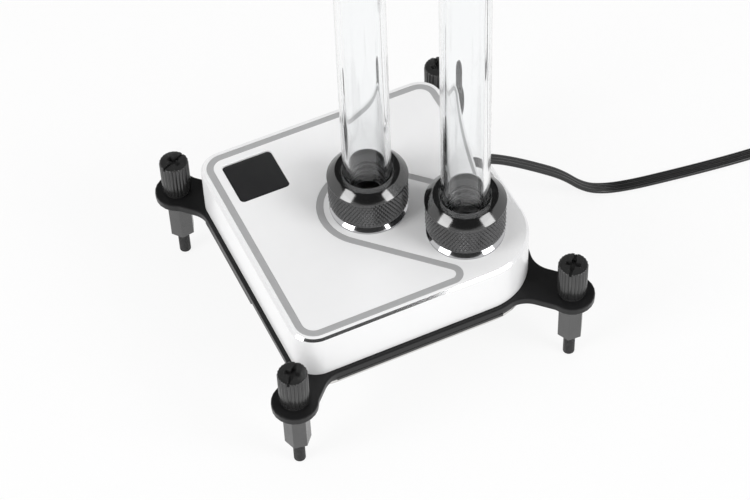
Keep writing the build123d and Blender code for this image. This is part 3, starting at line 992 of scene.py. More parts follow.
@dataclass
class CornerSet:
    """Hexagon standoff with a threaded stud at each end, washer and fluted thumb nut."""

    corner: Corner
    hex_turn: float
    slot_turn: float
    hex_width: float = 5.8
    hex_length: float = 13.4
    corner_share: float = 0.995
    corner_swing: float = 1.2
    stud_radius: float = 1.5
    thread_pitch: float = 0.5
    thread_depth: float = 0.26
    stud_tip: float = 0.45
    hex_edge: float = 0.18
    flutes: int = 24
    flute_depth: float = 0.3
    nut_edge: float = 0.42
    slot_width: float = 0.7
    slot_depth: float = 0.6
    cross_width: float = 1.2
    cross_length: float = 3.8
    cross_depth: float = 1.2
    thread_hole: float = 1.55
    nut_roof: float = 1.5

    @property
    def name(self) -> str:
        """Ending of this corner's node names."""
        return self.corner.value

    def threaded(self, surface: Surface, x: float, y: float, bottom: float, top: float) -> None:
        """Adds an upright threaded stud, its crests along a true helix.

        Args:
            surface: What it is added to.
            x: The axis in X.
            y: The axis in Y.
            bottom: Lower end.
            top: Upper end.
        """
        steps = 28
        low, high = bottom + self.stud_tip, top - self.stud_tip
        shares = (0.0, 0.0, 1.0, 1.0)
        rows = 4 * (math.ceil((high - low) / self.thread_pitch) + 2)
        columns = []
        for k in range(steps + 1):
            angle = 2 * math.pi * k / steps
            column = []
            for row in range(rows + 1):
                z = low + (row / 4 - 1 + k / steps) * self.thread_pitch
                r = self.stud_radius - self.thread_depth * shares[row % 4]
                z = min(max(z, low), high)
                column.append((x + r * math.cos(angle), y + r * math.sin(angle), z))
            columns.append(surface.ring(column))
        for left, right in zip(columns, columns[1:]):
            for a, b, c, d in zip(left, right, right[1:], left[1:]):
                surface.face((a, b, c, d))
        tip_radius = self.stud_radius - self.stud_tip
        surface.turn(
            [(0.0, bottom), (tip_radius, bottom), (self.stud_radius, low), (0.0, low + 0.01)],
            x, y, steps, closed=False,
        )
        surface.turn(
            [(0.0, high - 0.01), (self.stud_radius, high), (tip_radius, top), (0.0, top)],
            x, y, steps, closed=False,
        )

    def build_standoff(self) -> None:
        """Makes the hexagon with its two studs."""
        node = "standoff_" + self.name
        box = NodeBox.of(node)
        lug = NodeBox.of("mounting_bracket")
        x, y = box.centre.x, box.centre.y
        hex_top = lug.low.z
        hex_bottom = hex_top - self.hex_length
        surface = Surface()
        edge = self.hex_edge
        flat = self.hex_width / 2

        def hexagon(height: float, inset: float) -> list[Point3]:
            reach = (flat - inset) / math.cos(math.pi / 6) * self.corner_share
            corners = []
            for i in range(6):
                for swing in (-self.corner_swing, self.corner_swing):
                    angle = math.radians(self.hex_turn + 30 + 60 * i + swing)
                    corners.append((x + reach * math.cos(angle), y + reach * math.sin(angle), height))
            return corners

        rings = surface.stack([
            hexagon(hex_bottom, edge),
            hexagon(hex_bottom + edge * 0.6, 0.0),
            hexagon(hex_top - edge * 0.6, 0.0),
            hexagon(hex_top, edge),
        ])
        surface.flat([rings[0]], up=False)
        surface.flat([rings[-1]], up=True)
        self.threaded(surface, x, y, box.low.z, hex_bottom)
        self.threaded(surface, x, y, hex_top, box.high.z)
        piece = surface.piece("standoff_hex_" + self.name, [STANDOFF_BLACK.material()], crease=25.0)
        hang(piece, BLOCK, "black_steel", node)

    def build_washer(self) -> None:
        """Makes the flat washer under the nut."""
        node = "nut_washer_" + self.name
        box = NodeBox.of(node)
        profile = [
            (self.thread_hole, box.low.z), (box.half.x, box.low.z),
            (box.half.x, box.high.z), (self.thread_hole, box.high.z),
        ]
        surface = Surface()
        surface.turn(soften(profile, 0.12), box.centre.x, box.centre.y, 64)
        piece = surface.piece("washer_" + self.name, [WASHER_BLACK.material()])
        hang(piece, "washer_" + self.name, "washer_plastic", node)

    def nut_ring(self, height: float, limit: float, radius: float) -> list[Point3]:
        """One ring of the fluted grip.

        Args:
            height: Height of the ring.
            limit: Radius that the ring doesn't pass, for the edges.
            radius: Radius over the ridges.

        Returns:
            The ring's points about the nut's own axis.
        """
        steps = self.flutes * 6
        points = []
        for i in range(steps):
            angle = 2 * math.pi * i / steps
            hollow = (0.5 - 0.5 * math.cos(self.flutes * angle)) ** 1.4
            r = min(radius - self.flute_depth * hollow, limit)
            points.append((r * math.cos(angle), r * math.sin(angle), height))
        return points

    def build_nut(self) -> None:
        """Makes the thumb nut, then cuts the slot and the cross recess into its top."""
        node = "thumb_nut_" + self.name
        box = NodeBox.of(node)
        low, high = box.low.z, box.high.z
        radius = NodeBox.of("thumb_nut_" + Corner.FRONT_LEFT.value).half.x  # one size for all four
        edge = self.nut_edge
        surface = Surface()
        levels = [
            (low, radius - edge), (low + edge * 0.3, radius - edge * 0.35), (low + edge, radius),
            (high - edge, radius), (high - edge * 0.35, radius - edge * 0.3),
            (high - edge * 0.1, radius - edge * 0.65), (high, radius - edge),
        ]
        rings = surface.stack([self.nut_ring(z, limit, radius) for z, limit in levels])
        bore = surface.stack([
            circle(0.0, 0.0, self.thread_hole, z, 48) for z in (high - self.nut_roof, low)
        ])
        surface.flat([bore[0]], up=False)
        surface.flat([rings[-1]], up=True)
        surface.flat([rings[0], bore[-1]], up=False)
        piece = surface.piece("nut_grip_" + self.name, [NUT_BLACK.material()], crease=40.0)
        self.cut_top(piece, high)
        turn = Matrix.Rotation(math.radians(self.slot_turn), 4, "Z")
        place = Matrix.Translation(Vector((box.centre.x, box.centre.y, 0.0)) * MM)
        piece.data.transform(place @ turn)
        hang(piece, "nut_" + self.name, "black_nut", node)

    def cut_top(self, piece: bpy.types.Object, top: float) -> None:
        """Cuts the driver's slot and cross into a nut that stands on its own axis.

        Args:
            piece: The nut.
            top: Height of its top.
        """
        sizes = (
            (4 * self.cross_length, self.slot_width, self.slot_depth),
            (self.cross_length, self.cross_width, self.cross_depth),
            (self.cross_width, self.cross_length, self.cross_depth),
        )
        blocks = []
        for length, width, depth in sizes:
            cutter = Surface()
            outline = rounded_rectangle(0.0, 0.0, length / 2, width / 2, 0.12)
            rings = cutter.stack([outline.at(top - depth, 0.0, 3), outline.at(top + 1.0, 0.0, 3)])
            cutter.flat([rings[0]], up=False)
            cutter.flat([rings[-1]], up=True)
            blocks.append(cutter.piece("cutter", [NUT_BLACK.material()]))
        for block in blocks:
            carve = piece.modifiers.new("recess", "BOOLEAN")
            carve.operation = "DIFFERENCE"
            carve.solver = "EXACT"
            carve.object = block
        graph = bpy.context.evaluated_depsgraph_get()
        carved = bpy.data.meshes.new_from_object(piece.evaluated_get(graph))
        piece.modifiers.clear()
        piece.data = carved
        carved.set_sharp_from_angle(angle=math.radians(40.0))
        for block in blocks:
            bpy.data.objects.remove(block)

    def build(self) -> None:
        """Makes this corner's three pieces."""
        self.build_standoff()
        self.build_washer()
        self.build_nut()


# Fittings and tubes


@dataclass
class Fitting:
    """Compression fitting of one port with its seals, and the clear tube that stands in it."""

    port: Port
    bore: float = 4.1
    diamonds: int = 62
    diamond_rows: int = 5
    knurl_depth: float = 0.3
    knurl_flat: float = 0.12
    lip_height: float = 0.45
    ring_slope: float = 1.4
    bore_grooves: int = 4
    bore_groove_depth: float = 0.16
    round_steps: int = 124
    ring_height: float = 2.0
    thread_radius: float = 6.58
    cup_radius: float = 8.3
    running_gap: float = 0.05
    seal_width: float = 1.4
    seal_height: float = 1.5
    seal_slack: float = 0.01
    knurl_radius: float = 9.95
    collar_height: float = 11.3
    mouth_radius: float = 8.02
    collar_bore: float = 8.4
    collar_foot: float = 9.5
    tube_bore: float = 4.5

    def node(self, ending: str) -> str:
        """Full name of one of this port's nodes."""
        return self.port.value + "_" + ending

    def axis(self) -> Point2:
        """The port's axis in plan."""
        centre = NodeBox.of(self.node("coolant_tube")).centre
        return centre.x, centre.y

    def build_base(self) -> None:
        """Makes the threaded foot, the polished ring and the cup."""
        box = NodeBox.of(self.node("fitting_base"))
        x, y = self.axis()
        seat = NodeBox.of("top_cover").high.z
        seal = NodeBox.of(self.node("tube_o_rings"))
        tube = NodeBox.of(self.node("coolant_tube"))
        ring_radius = box.half.x
        ring_top = seat + self.ring_height
        cup_top = box.high.z
        socket = tube.half.x + self.running_gap
        groove = (seal.low.z, seal.low.z + self.seal_height)
        thread, foot = self.thread_radius, box.low.z
        profile = [
            (self.bore, foot),
            (thread - 0.4, foot),
            (thread, foot + 0.4),
            (thread, seat),
            (ring_radius - 0.15, seat),
            (ring_radius, seat + 0.15),
            (ring_radius, ring_top - self.ring_slope),
            (ring_radius - self.ring_slope, ring_top),
            (self.cup_radius, ring_top),
            (self.cup_radius, cup_top),
            (socket, cup_top),
            (socket, groove[1]),
            (socket + self.seal_width, groove[1]),
            (socket + self.seal_width, groove[0]),
            (socket, groove[0]),
            (socket, tube.low.z),
            (self.bore, tube.low.z),
        ]
        surface = Surface()
        surface.turn(
            soften(profile, 0.09), x, y, self.round_steps,
            marks=lambda middle: 1 if middle[0] > self.collar_bore and middle[1] > seat + 0.02 else 0,
        )
        black = turned_black(x, y, "turned_black_" + self.port.value)
        bright = polished_ring(x, y, "polished_ring_" + self.port.value)
        piece = surface.piece(self.node("base"), [black.material(), bright.material()], crease=24.0)
        hang(piece, BLOCK, "fitting_metal", self.node("fitting_base"))

    def knurled_band(
        self, surface: Surface, radius: float, low: float, high: float
    ) -> tuple[list[int], list[int]]:
        """Adds a band of raised diamonds.

        Args:
            surface: What it is added to.
            radius: Radius over the diamonds.
            low: Height of the lower end.
            high: Height of the upper end.

        Returns:
            The lowest and the highest ring, a point each at every half diamond.
        """
        x, y = self.axis()
        columns = 2 * self.diamonds
        rows = 2 * self.diamond_rows
        deep = radius - self.knurl_depth

        def spot(column: float, row: float, reach: float) -> Point3:
            angle = 2 * math.pi * column / columns
            height = low + (high - low) * row / rows
            return x + reach * math.cos(angle), y + reach * math.sin(angle), height

        first = surface.ring([spot(i, 0, deep) for i in range(columns)])
        last = surface.ring([spot(i, rows, deep) for i in range(columns)])
        lattice = {(i, 0): first[i] for i in range(columns)}
        lattice.update({(i, rows): last[i] for i in range(columns)})
        for row in range(1, rows):
            numbers = surface.ring([spot(i, row, deep) for i in range(row % 2, columns, 2)])
            lattice.update({(i, row): number for i, number in zip(range(row % 2, columns, 2), numbers)})
        small = self.knurl_flat
        for row in range(1, rows):
            for i in range((row + 1) % 2, columns, 2):
                corners = (
                    lattice[(i - 1) % columns, row], lattice[i, row - 1],
                    lattice[(i + 1) % columns, row], lattice[i, row + 1],
                )
                tops = surface.ring([
                    spot(i - small, row, radius), spot(i, row - small, radius),
                    spot(i + small, row, radius), spot(i, row + small, radius),
                ])
                surface.face(tops, 1)
                for a, b in zip(range(4), (1, 2, 3, 0)):
                    surface.face((corners[a], corners[b], tops[b], tops[a]), 1)
        for i in range(1, columns, 2):
            j = (i + 1) % columns
            surface.face((lattice[i - 1, 0], lattice[i, 0], lattice[i, 1]), 1)
            surface.face((lattice[i, 0], lattice[j, 0], lattice[i, 1]), 1)
            surface.face((lattice[i - 1, rows], lattice[i, rows - 1], lattice[i, rows]), 1)
            surface.face((lattice[i, rows], lattice[i, rows - 1], lattice[j, rows]), 1)
        return first, last

    def build_collar(self) -> None:
        """Makes the grip collar: knurl, lip, long slope and bore."""
        box = NodeBox.of(self.node("knurled_collar"))
        slip = NodeBox.of(self.node("slip_ring"))
        x, y = self.axis()
        seat = NodeBox.of("top_cover").high.z
        lip_radius = box.half.x
        lip_top = seat + self.collar_height
        knurl_top = lip_top - self.lip_height
        knurl_low = box.low.z + 0.35
        ledge = slip.high.z + self.running_gap
        hole = NodeBox.of(self.node("coolant_tube")).half.x + 3 * self.running_gap
        pitch = (box.high.z - 0.35 - ledge) / (2 * self.bore_grooves + 1)
        grooves = []
        for i in range(self.bore_grooves):
            groove_top = box.high.z - 0.3 - pitch * (2 * i + 1)
            grooves += [
                (hole, groove_top),
                (hole + self.bore_groove_depth, groove_top - pitch / 2),
                (hole, groove_top - pitch),
            ]
        surface = Surface()
        first, last = self.knurled_band(surface, self.knurl_radius, knurl_low, knurl_top)
        deep = self.knurl_radius - self.knurl_depth
        outside = soften(
            [
                (deep, knurl_top), (lip_radius, knurl_top + 0.18), (lip_radius, lip_top),
                (self.mouth_radius, box.high.z), (hole + 0.25, box.high.z), (hole, box.high.z - 0.25),
                *grooves, (hole, ledge), (self.collar_bore, ledge), (self.collar_bore, box.low.z),
                (self.collar_foot, box.low.z), (deep, knurl_low),
            ],
            0.08, steps=2, closed=False,
        )
        rings = [surface.ring(circle(x, y, r, z, 2 * self.diamonds)) for r, z in outside[1:-1]]
        surface.bridge(last, rings[0])
        for lower, upper in zip(rings, rings[1:]):
            surface.bridge(lower, upper)
        surface.bridge(rings[-1], first)
        black = turned_black(x, y, "turned_black_" + self.port.value)
        grip = KNURL_BLACK.material()
        piece = surface.piece(self.node("collar_grip"), [black.material(), grip], crease=14.0)
        hang(piece, self.node("collar"), "fitting_metal", self.node("knurled_collar"))

    def build_seals(self) -> None:
        """Makes the two round rubber rings on the tube and the flat one under the base."""
        x, y = self.axis()
        box = NodeBox.of(self.node("tube_o_rings"))
        tube = NodeBox.of(self.node("coolant_tube"))
        surface = Surface()
        half_wide = self.seal_width / 2
        half_high = 0.72
        centre = tube.half.x + self.seal_slack + half_wide
        for middle in (box.low.z + self.seal_height / 2, box.high.z - self.seal_height / 2):
            ring = [
                (centre + half_wide * math.cos(a), middle + half_high * math.sin(a))
                for a in map(math.radians, range(0, 360, 24))
            ]
            surface.turn(ring, x, y, self.round_steps)
        piece = surface.piece(self.node("seal_pair"), [RUBBER.material()])
        hang(piece, BLOCK, "rubber_seal", self.node("tube_o_rings"))
        dress(self.node("port_o_ring"), RUBBER.material())

    def build_slip_ring(self) -> None:
        """Makes the flat ring that lets the collar turn on the seal."""
        x, y = self.axis()
        box = NodeBox.of(self.node("slip_ring"))
        hole = NodeBox.of(self.node("coolant_tube")).half.x + 2 * self.running_gap
        profile = [(hole, box.low.z), (box.half.x, box.low.z), (box.half.x, box.high.z), (hole, box.high.z)]
        surface = Surface()
        surface.turn(soften(profile, 0.12), x, y, self.round_steps)
        piece = surface.piece(self.node("slip"), [SLIP_BLACK.material()])
        hang(piece, self.node("slip"), "slip_plastic", self.node("slip_ring"))

    def build_tube(self) -> None:
        """Makes the clear tube with softened ends."""
        x, y = self.axis()
        box = NodeBox.of(self.node("coolant_tube"))
        profile = [
            (self.tube_bore, box.low.z), (box.half.x, box.low.z),
            (box.half.x, box.high.z), (self.tube_bore, box.high.z),
        ]
        surface = Surface()
        surface.turn(soften(profile, 0.25, steps=4), x, y, 160)
        piece = surface.piece(self.node("clear_tube"), [CLEAR_TUBE.material()], crease=8.0)
        piece.visible_shadow = False
        hang(piece, BLOCK, "clear_tube", self.node("coolant_tube"))

    def build(self) -> None:
        """Makes all pieces of this port."""
        self.build_base()
        self.build_collar()
        self.build_seals()
        self.build_slip_ring()
        self.build_tube()


# Underside and inside


@dataclass
class Underside:
    """Flow body, cold plate and what they hold."""

    socket_width: float = 1.5
    socket_depth: float = 0.8
    head_radius: float = 2.3
    head_height: float = 1.2
    shank_radius: float = 1.2
    base_screw_at: float = 24.2
    cover_screw_offset: float = 9.0
    cover_screw_inset: float = 3.75
    screw_steps: int = 48

    def socket(self, x: float, y: float, height: float) -> list[Point3]:
        """One ring of a screw's hexagon socket."""
        ring = []
        for i in range(self.screw_steps):
            a = 2 * math.pi * i / self.screw_steps
            swing = (math.degrees(a) % 60) - 30
            r = self.socket_width / 2 / math.cos(math.radians(swing))
            ring.append((x + r * math.cos(a), y + r * math.sin(a), height))
        return ring

    def screw_group(self, name: str, node: str, spots: Sequence[Point2]) -> None:
        """Makes a group of equal cheese-head screws with hexagon sockets.

        Args:
            name: Name of the piece.
            node: CAD node that it stands for.
            spots: Place of each screw.
        """
        box = NodeBox.of(node)
        low, high = box.low.z, box.high.z
        surface = Surface()
        neck = low + self.head_height
        profile = (
            (self.head_radius - 0.12, low), (self.head_radius, low + 0.12), (self.head_radius, neck),
            (self.shank_radius, neck), (self.shank_radius, high - 0.3), (self.shank_radius - 0.3, high),
        )
        for x, y in spots:
            inner = surface.stack([
                self.socket(x, y, low + self.socket_depth), self.socket(x, y, low)
            ])
            surface.flat([inner[0]], up=False)
            outside = surface.stack([circle(x, y, r, z, self.screw_steps) for r, z in profile])
            surface.flat([outside[0], inner[-1]], up=False)
            surface.flat([outside[-1]], up=True)
        piece = surface.piece(name, [SCREW_BLACK.material()], crease=30.0)
        hang(piece, BLOCK, "dark_screw", node)

    def build(self) -> None:
        """Makes the screws and dresses the carried-over nodes."""
        at = self.base_screw_at
        base = [(x * at, y * at) for x in (-1, 0, 1) for y in (-1, 0, 1) if (x, y) != (0, 0)]
        side = NodeBox.of("top_cover").half.x - self.cover_screw_inset
        cover = [(x * side, y * self.cover_screw_offset) for x in (-1, 1) for y in (-1, 1)]
        self.screw_group("base_screw_set", "base_screws", base)
        self.screw_group("cover_screw_set", "cover_screws", cover)
        for node, finish in (
            ("cold_plate", NICKEL),
            ("jet_plate", STEEL_SHEET),
            ("main_o_ring", RUBBER),
            ("flow_body", ACETAL_BLACK),
            ("led_board", BOARD_WHITE),
            ("led_chips", CHIP_LENS),
            ("cable_grommet", RUBBER),
            ("plug_contacts", CONTACT_GOLD),
        ):
            dress(node, finish.material())


# Lead


@dataclass
class Lead:
    """Flat three-core lead from the grommet along the table to its coil, tie and plug."""

    exit: Point3 = (34.3, 11.4, 9.7)
    core_radius: float = 0.6
    core_pitch: float = 1.15
    coil_x: float = 130.5
    coil_y: float = -21.8
    coil_outer: float = 20.25
    coil_inner: float = 16.55
    coil_turns: float = 3.25
    points_per_turn: int = 16
    layer_rise: float = 1.4
    rest_height: float = 0.72
    plug_entry: float = 1.3
    length: float = 500.0
    plug_x: float = 151.3
    plug_back: float = -38.0
    tie_heading: float = 200.0
    tie_half_high: float = 1.42
    tie_side: float = 2.1
    contact_pitch: float = 2.54
    contact_half_hole: float = 0.42
    contact_depth: float = 5.0
    contact_places: tuple[float, ...] = (-1.5, -0.5, 1.5)
    plug_grooves: tuple[float, ...] = (2.6, 3.8)
    floor: float = field(default_factory=lambda: NodeBox.of("led_cable_coil").low.z)

    def run_points(self) -> list[Point3]:
        """Points of the run from the grommet to the coil, given one by one."""
        rest = self.floor + self.rest_height
        return [
            (34.2, 11.4, 9.7),
            (39.0, 11.4, 8.0),
            (46.0, 11.2, 3.4),
            (53.0, 10.0, -1.3),
            (59.5, 8.4, -5.7),
            (65.5, 6.9, -12.4),
            (71.5, 6.0, rest),
            (79.0, 4.0, rest),
            (89.0, 2.4, rest),
            (100.0, 0.8, rest),
            (111.0, -0.5, rest),
            (122.0, -1.3, rest),
        ]

    def coil_points(self) -> list[Point3]:
        """Points of the coil: two turns side by side on the table and the rest on top of them.

        Returns:
            The points in the lead's order.
        """
        points = []
        count = round(self.coil_turns * self.points_per_turn)
        for i in range(1, count + 1):
            turn = i / self.points_per_turn
            angle = math.radians(90 - 360 * turn)
            inward = ramp(turn, 0.65, 0.98) - ramp(turn, 2.3, 2.6)
            radius = self.coil_outer + (self.coil_inner - self.coil_outer) * inward
            height = self.floor + self.rest_height + self.layer_rise * ramp(turn, 1.65, 1.98)
            points.append((
                self.coil_x + radius * math.cos(angle), self.coil_y + radius * math.sin(angle), height
            ))
        return points

    def tail_points(self) -> list[Point3]:
        """Points from the coil down to the back of the plug, given one by one."""
        entry = self.floor + self.plug_entry
        return [
            (150.7, -24.5, entry + 0.6),
            (self.plug_x, -31.0, entry),
            (self.plug_x, self.plug_back - 0.6, entry),
        ]

    def section(self) -> bpy.types.Object:
        """Cross-section of the lead: three round cores side by side, moulded together.

        Returns:
            The closed curve, which isn't rendered itself.
        """
        meet = math.degrees(math.acos(self.core_pitch / 2 / self.core_radius))
        stretches = (
            (self.core_pitch, meet - 180, 180 - meet),
            (0.0, meet, 180 - meet),
            (-self.core_pitch, meet, 360 - meet),
            (0.0, 180 + meet, 360 - meet),
        )
        spots = []
        for middle, start, end in stretches:
            steps = max(6, round((end - start) / 24))
            for k in range(steps):
                angle = math.radians(start + (end - start) * (k + 0.5) / steps)
                x, y = self.core_radius * math.cos(angle), self.core_radius * math.sin(angle)
                spots.append((middle + x, y))
        curve = bpy.data.curves.new("lead_section", "CURVE")
        curve.dimensions = "2D"
        spline = curve.splines.new("POLY")
        spline.points.add(len(spots) - 1)
        for point, (x, y) in zip(spline.points, spots):
            point.co = (x * MM, y * MM, 0.0, 1.0)
        spline.use_cyclic_u = True
        made = link("lead_section", curve)
        made.hide_render = True
        made.hide_viewport = True
        return made

    def build_ribbon(self) -> bpy.types.Object:
        """Makes the lead as one smooth spline with the flat three-core section."""
        points = self.run_points() + self.coil_points() + self.tail_points()
        curve = bpy.data.curves.new("lead_ribbon", "CURVE")
        curve.dimensions = "3D"
        curve.twist_mode = "Z_UP"
        curve.resolution_u = 8
        curve.bevel_mode = "OBJECT"
        curve.bevel_object = self.section()
        curve.use_fill_caps = True
        spline = curve.splines.new("NURBS")
        spline.points.add(len(points) - 1)
        for point, spot in zip(spline.points, points):
            point.co = (*(Vector(spot) * MM), 1.0)
        spline.order_u = 3
        spline.use_endpoint_u = True
        spline.use_smooth = True
        ribbon = link("lead_ribbon", curve)
        curve.materials.append(JACKET.material())
        hang(ribbon, BLOCK, "cable_jacket", "led_cable", "led_cable_coil", "led_cable_tail")
        return ribbon

    def build_tie(self) -> bpy.types.Object:
        """Makes the strap that holds the coil together."""
        surface = Surface()
        heading = math.radians(self.tie_heading)
        middle = (self.coil_outer + self.coil_inner) / 2
        half_wide = (self.coil_outer - self.coil_inner) / 2 + self.tie_side
        half_high = self.tie_half_high
        centre_z = self.floor + half_high + 0.02
        section = rounded_rectangle(0.0, 0.0, half_wide, half_high, 1.0)
        rings = []
        for swing, inset in ((-2.4, 0.35), (-2.2, 0.0), (2.2, 0.0), (2.4, 0.35), (2.2, 0.3), (-2.2, 0.3)):
            ring = []
            for across, rise in section.points(-inset, 6):
                radius = middle + across
                x = self.coil_x + radius * math.cos(heading) - swing * math.sin(heading)
                y = self.coil_y + radius * math.sin(heading) + swing * math.cos(heading)
                ring.append((x, y, centre_z + rise))
            rings.append(ring)
        made = surface.stack(rings)
        surface.bridge(made[-1], made[0])
        tie = surface.piece("coil_tie", [TIE_BLACK.material()])
        hang(tie, BLOCK, "rubber_seal")
        return tie

    def build_plug(self) -> bpy.types.Object:
        """Makes the flat housing with two grooves round its back and contact windows in its front."""
        box = NodeBox.of("cable_plug")
        front, back = box.low.y, box.high.y
        middle_z = box.centre.z
        half_x, half_z = box.half.x, box.half.z
        surface = Surface()

        def ring(y: float, inset: float) -> list[Point3]:
            outline = rounded_rectangle(box.centre.x, middle_z, half_x - inset, half_z - inset, 0.35)
            return [(x, y, z) for x, z in outline.points(0.0, 4)]

        stations = [(back, 0.35), (back - 0.3, 0.12)]
        for groove in self.plug_grooves:
            start = back - groove
            stations += [(start, 0.12), (start - 0.1, 0.3), (start - 0.4, 0.3), (start - 0.5, 0.12)]
        stations += [
            (back - 5.2, 0.12), (back - 5.4, 0.0), (front + 0.3, 0.0), (front + 0.1, 0.08), (front, 0.25),
        ]
        rings = surface.stack([ring(y, inset) for y, inset in stations])
        self.fill_end(surface, rings[0])
        half = self.contact_half_hole
        holes = []
        for place in self.contact_places:
            x = box.centre.x + place * self.contact_pitch
            corners = [
                (x + sx * half, middle_z + sz * half) for sx, sz in ((-1, -1), (1, -1), (1, 1), (-1, 1))
            ]
            holes.append(surface.stack([
                [(cx, y, cz) for cx, cz in corners] for y in (front, front + self.contact_depth)
            ]))
        self.fill_end(surface, rings[-1], [hole[0] for hole in holes])
        for hole in holes:
            self.fill_end(surface, hole[-1])
        plug = surface.piece("lead_plug", [PLUG_BLACK.material()])
        hang(plug, BLOCK, "plug_plastic", "cable_plug")
        return plug

    def fill_end(self, surface: Surface, loop: Sequence[int], holes: Sequence[Sequence[int]] = ()) -> None:
        """Fills an upright end face round its holes.

        Args:
            surface: What it is added to.
            loop: Numbers of the outline's points.
            holes: Numbers of each hole's points.
        """
        loops = [loop, *holes]
        numbers = [number for one in loops for number in one]
        outlines = [
            [Vector((surface.spots[n][0], surface.spots[n][2], 0.0)) for n in one] for one in loops
        ]
        for triple in tessellate_polygon(outlines):
            surface.face([numbers[i] for i in triple])

    def build(self) -> None:
        ribbon = self.build_ribbon()
        tie = self.build_tie()
        plug = self.build_plug()


def ramp(value: float, start: float, end: float) -> float:
    """Rises smoothly from 0 at start to 1 at end."""
    share = min(max((value - start) / (end - start), 0.0), 1.0)
    return share * share * (3 - 2 * share)


# Studio


@dataclass(frozen=True)
class PhotoCamera:
    """The photograph's viewpoint."""

    place: Point3 = (-151.13, -356.96, 469.71)
    target: Point3 = (7.36, 14.62, -15.9)
    roll: float = -2.561
    lens: float = 114.53
    sensor: float = 36.0

    def build(self) -> None:
        """Puts the camera in the scene."""
        data = bpy.data.cameras.new("photo_camera")
        data.lens = self.lens
        data.sensor_width = self.sensor
        data.clip_start = 0.01
        data.clip_end = 20.0
        made = link("photo_camera", data)
        forward = (Vector(self.target) - Vector(self.place)).normalized()
        roll = Matrix.Rotation(math.radians(self.roll), 3, "Z")
        turn = forward.to_track_quat("-Z", "Y").to_matrix() @ roll
        made.matrix_world = Matrix.Translation(Vector(self.place) * MM) @ turn.to_4x4()
        bpy.context.scene.camera = made


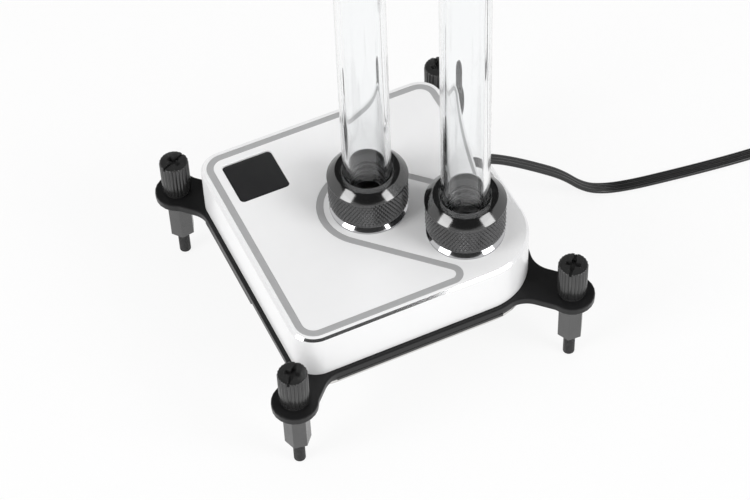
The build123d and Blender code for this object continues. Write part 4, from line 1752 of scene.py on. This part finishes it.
@dataclass
class Studio:
    """Pale table, even white surroundings, two soft boxes and the dark room above."""

    floor_half: float = 2500.0
    floor_colour: float = 0.92
    floor_lift: float = 0.86
    world_light: float = 0.5
    box_radiance: float = 7.5
    box_side: float = 450.0
    box_distance: float = 1000.0
    left_box: Point3 = (-0.81, -0.11, 0.53)
    right_box: Point3 = (0.50, -0.69, 0.53)
    ceiling_height: float = 1150.0
    ceiling_radius: float = 1900.0
    ceiling_glow: float = 0.06
    floor_z: float = field(default_factory=lambda: NodeBox.of("led_cable_coil").low.z)

    def bare_material(self, name: str) -> tuple[bpy.types.Material, Bench]:
        """A material whose tree holds only its output, and the bench to build on."""
        finish = bpy.data.materials.new(name)
        finish.use_nodes = True
        finish.node_tree.nodes.remove(finish.node_tree.nodes["Principled BSDF"])
        return finish, Bench(finish.node_tree)

    def seen_rays(self, bench: Bench) -> bpy.types.NodeSocket:
        """One for camera, mirror and glass rays, and nothing for the rays that light a surface."""
        path = bench.add("ShaderNodeLightPath")
        mirror = bench.maths("MAXIMUM", path.outputs["Is Camera Ray"], path.outputs["Is Glossy Ray"])
        return bench.maths("MAXIMUM", mirror, path.outputs["Is Transmission Ray"])

    def build_world(self) -> None:
        """White surroundings, bright to the camera and half as bright as light."""
        world = bpy.data.worlds.new("studio_white")
        bpy.context.scene.world = world
        world.use_nodes = True
        bench = Bench(world.node_tree)
        background = world.node_tree.nodes["Background"]
        background.inputs["Color"].default_value = (1.0, 1.0, 1.0, 1.0)
        extra = bench.maths("MULTIPLY", self.seen_rays(bench), 1.0 - self.world_light)
        bench.join(bench.maths("ADD", extra, self.world_light), background.inputs["Strength"])

    def build_floor(self) -> None:
        """Pale table that shows the object's shadow faintly."""
        surface = Surface()
        reach = self.floor_half
        corners = [(-reach, -reach), (reach, -reach), (reach, reach), (-reach, reach)]
        loop = surface.ring([(x, y, self.floor_z - 0.02) for x, y in corners])
        surface.flat([loop], up=True)
        finish, bench = self.bare_material("pale_table")
        matte = bench.add("ShaderNodeBsdfDiffuse")
        matte.inputs["Color"].default_value = (self.floor_colour,) * 3 + (1.0,)
        glow = bench.add("ShaderNodeEmission")
        glow.inputs["Color"].default_value = (1.0, 1.0, 1.0, 1.0)
        mix = bench.add("ShaderNodeMixShader")
        bench.join(bench.maths("MULTIPLY", self.seen_rays(bench), self.floor_lift), mix.inputs[0])
        bench.join(matte.outputs[0], mix.inputs[1])
        bench.join(glow.outputs[0], mix.inputs[2])
        bench.join(mix.outputs[0], finish.node_tree.nodes["Material Output"].inputs["Surface"])
        surface.piece("table", [finish])

    def build_ceiling(self) -> None:
        """Dark room above the lights, seen only in reflections."""
        surface = Surface()
        loop = surface.ring(circle(0.0, 0.0, self.ceiling_radius, self.ceiling_height, 64))
        surface.flat([loop], up=False)
        finish, bench = self.bare_material("dark_room")
        glow = bench.add("ShaderNodeEmission")
        glow.inputs["Color"].default_value = (self.ceiling_glow,) * 3 + (1.0,)
        bench.join(glow.outputs[0], finish.node_tree.nodes["Material Output"].inputs["Surface"])
        ceiling = surface.piece("dark_ceiling", [finish])
        ceiling.visible_camera = False
        ceiling.visible_diffuse = False
        ceiling.visible_shadow = False
        ceiling.visible_transmission = False

    def build_box(self, name: str, toward: Point3) -> None:
        """Hangs one soft box.

        Args:
            name: Name of the lamp.
            toward: Its direction from the object.
        """
        data = bpy.data.lights.new(name, "AREA")
        data.shape = "SQUARE"
        data.size = self.box_side * MM
        data.energy = self.box_radiance * math.pi * (self.box_side * MM) ** 2
        lamp = link(name, data)
        place = Vector(toward).normalized() * self.box_distance * MM
        turn = (-place).to_track_quat("-Z", "Y").to_matrix()
        lamp.matrix_world = Matrix.Translation(place) @ turn.to_4x4()
        lamp.visible_camera = False
        lamp.visible_transmission = False

    def build(self) -> None:
        """Sets up the surroundings, table, ceiling and lamps."""
        self.build_world()
        self.build_floor()
        self.build_ceiling()
        self.build_box("left_soft_box", self.left_box)
        self.build_box("right_soft_box", self.right_box)
        bpy.context.scene.view_settings.view_transform = "Standard"


CORNER_SETS = (
    CornerSet(Corner.FRONT_LEFT, hex_turn=18.8, slot_turn=50.0),
    CornerSet(Corner.FRONT_RIGHT, hex_turn=26.4, slot_turn=50.0),
    CornerSet(Corner.REAR_LEFT, hex_turn=38.7, slot_turn=25.0),
    CornerSet(Corner.REAR_RIGHT, hex_turn=10.0, slot_turn=80.0),
)


def main() -> None:
    """Builds the camera and the lead, then every sub-assembly, then the studio."""
    logging.basicConfig(level=logging.INFO, format="%(message)s")
    PhotoCamera().build()
    Lead().build()
    cover = Cover()
    cover.build_shell()
    cover.build_light()
    cover.build_badge()
    Bracket().build()
    for corner_set in CORNER_SETS:
        corner_set.build()
    for port in Port:
        Fitting(port).build()
    Underside().build()
    Studio().build()


if __name__ == "__main__":
    main()
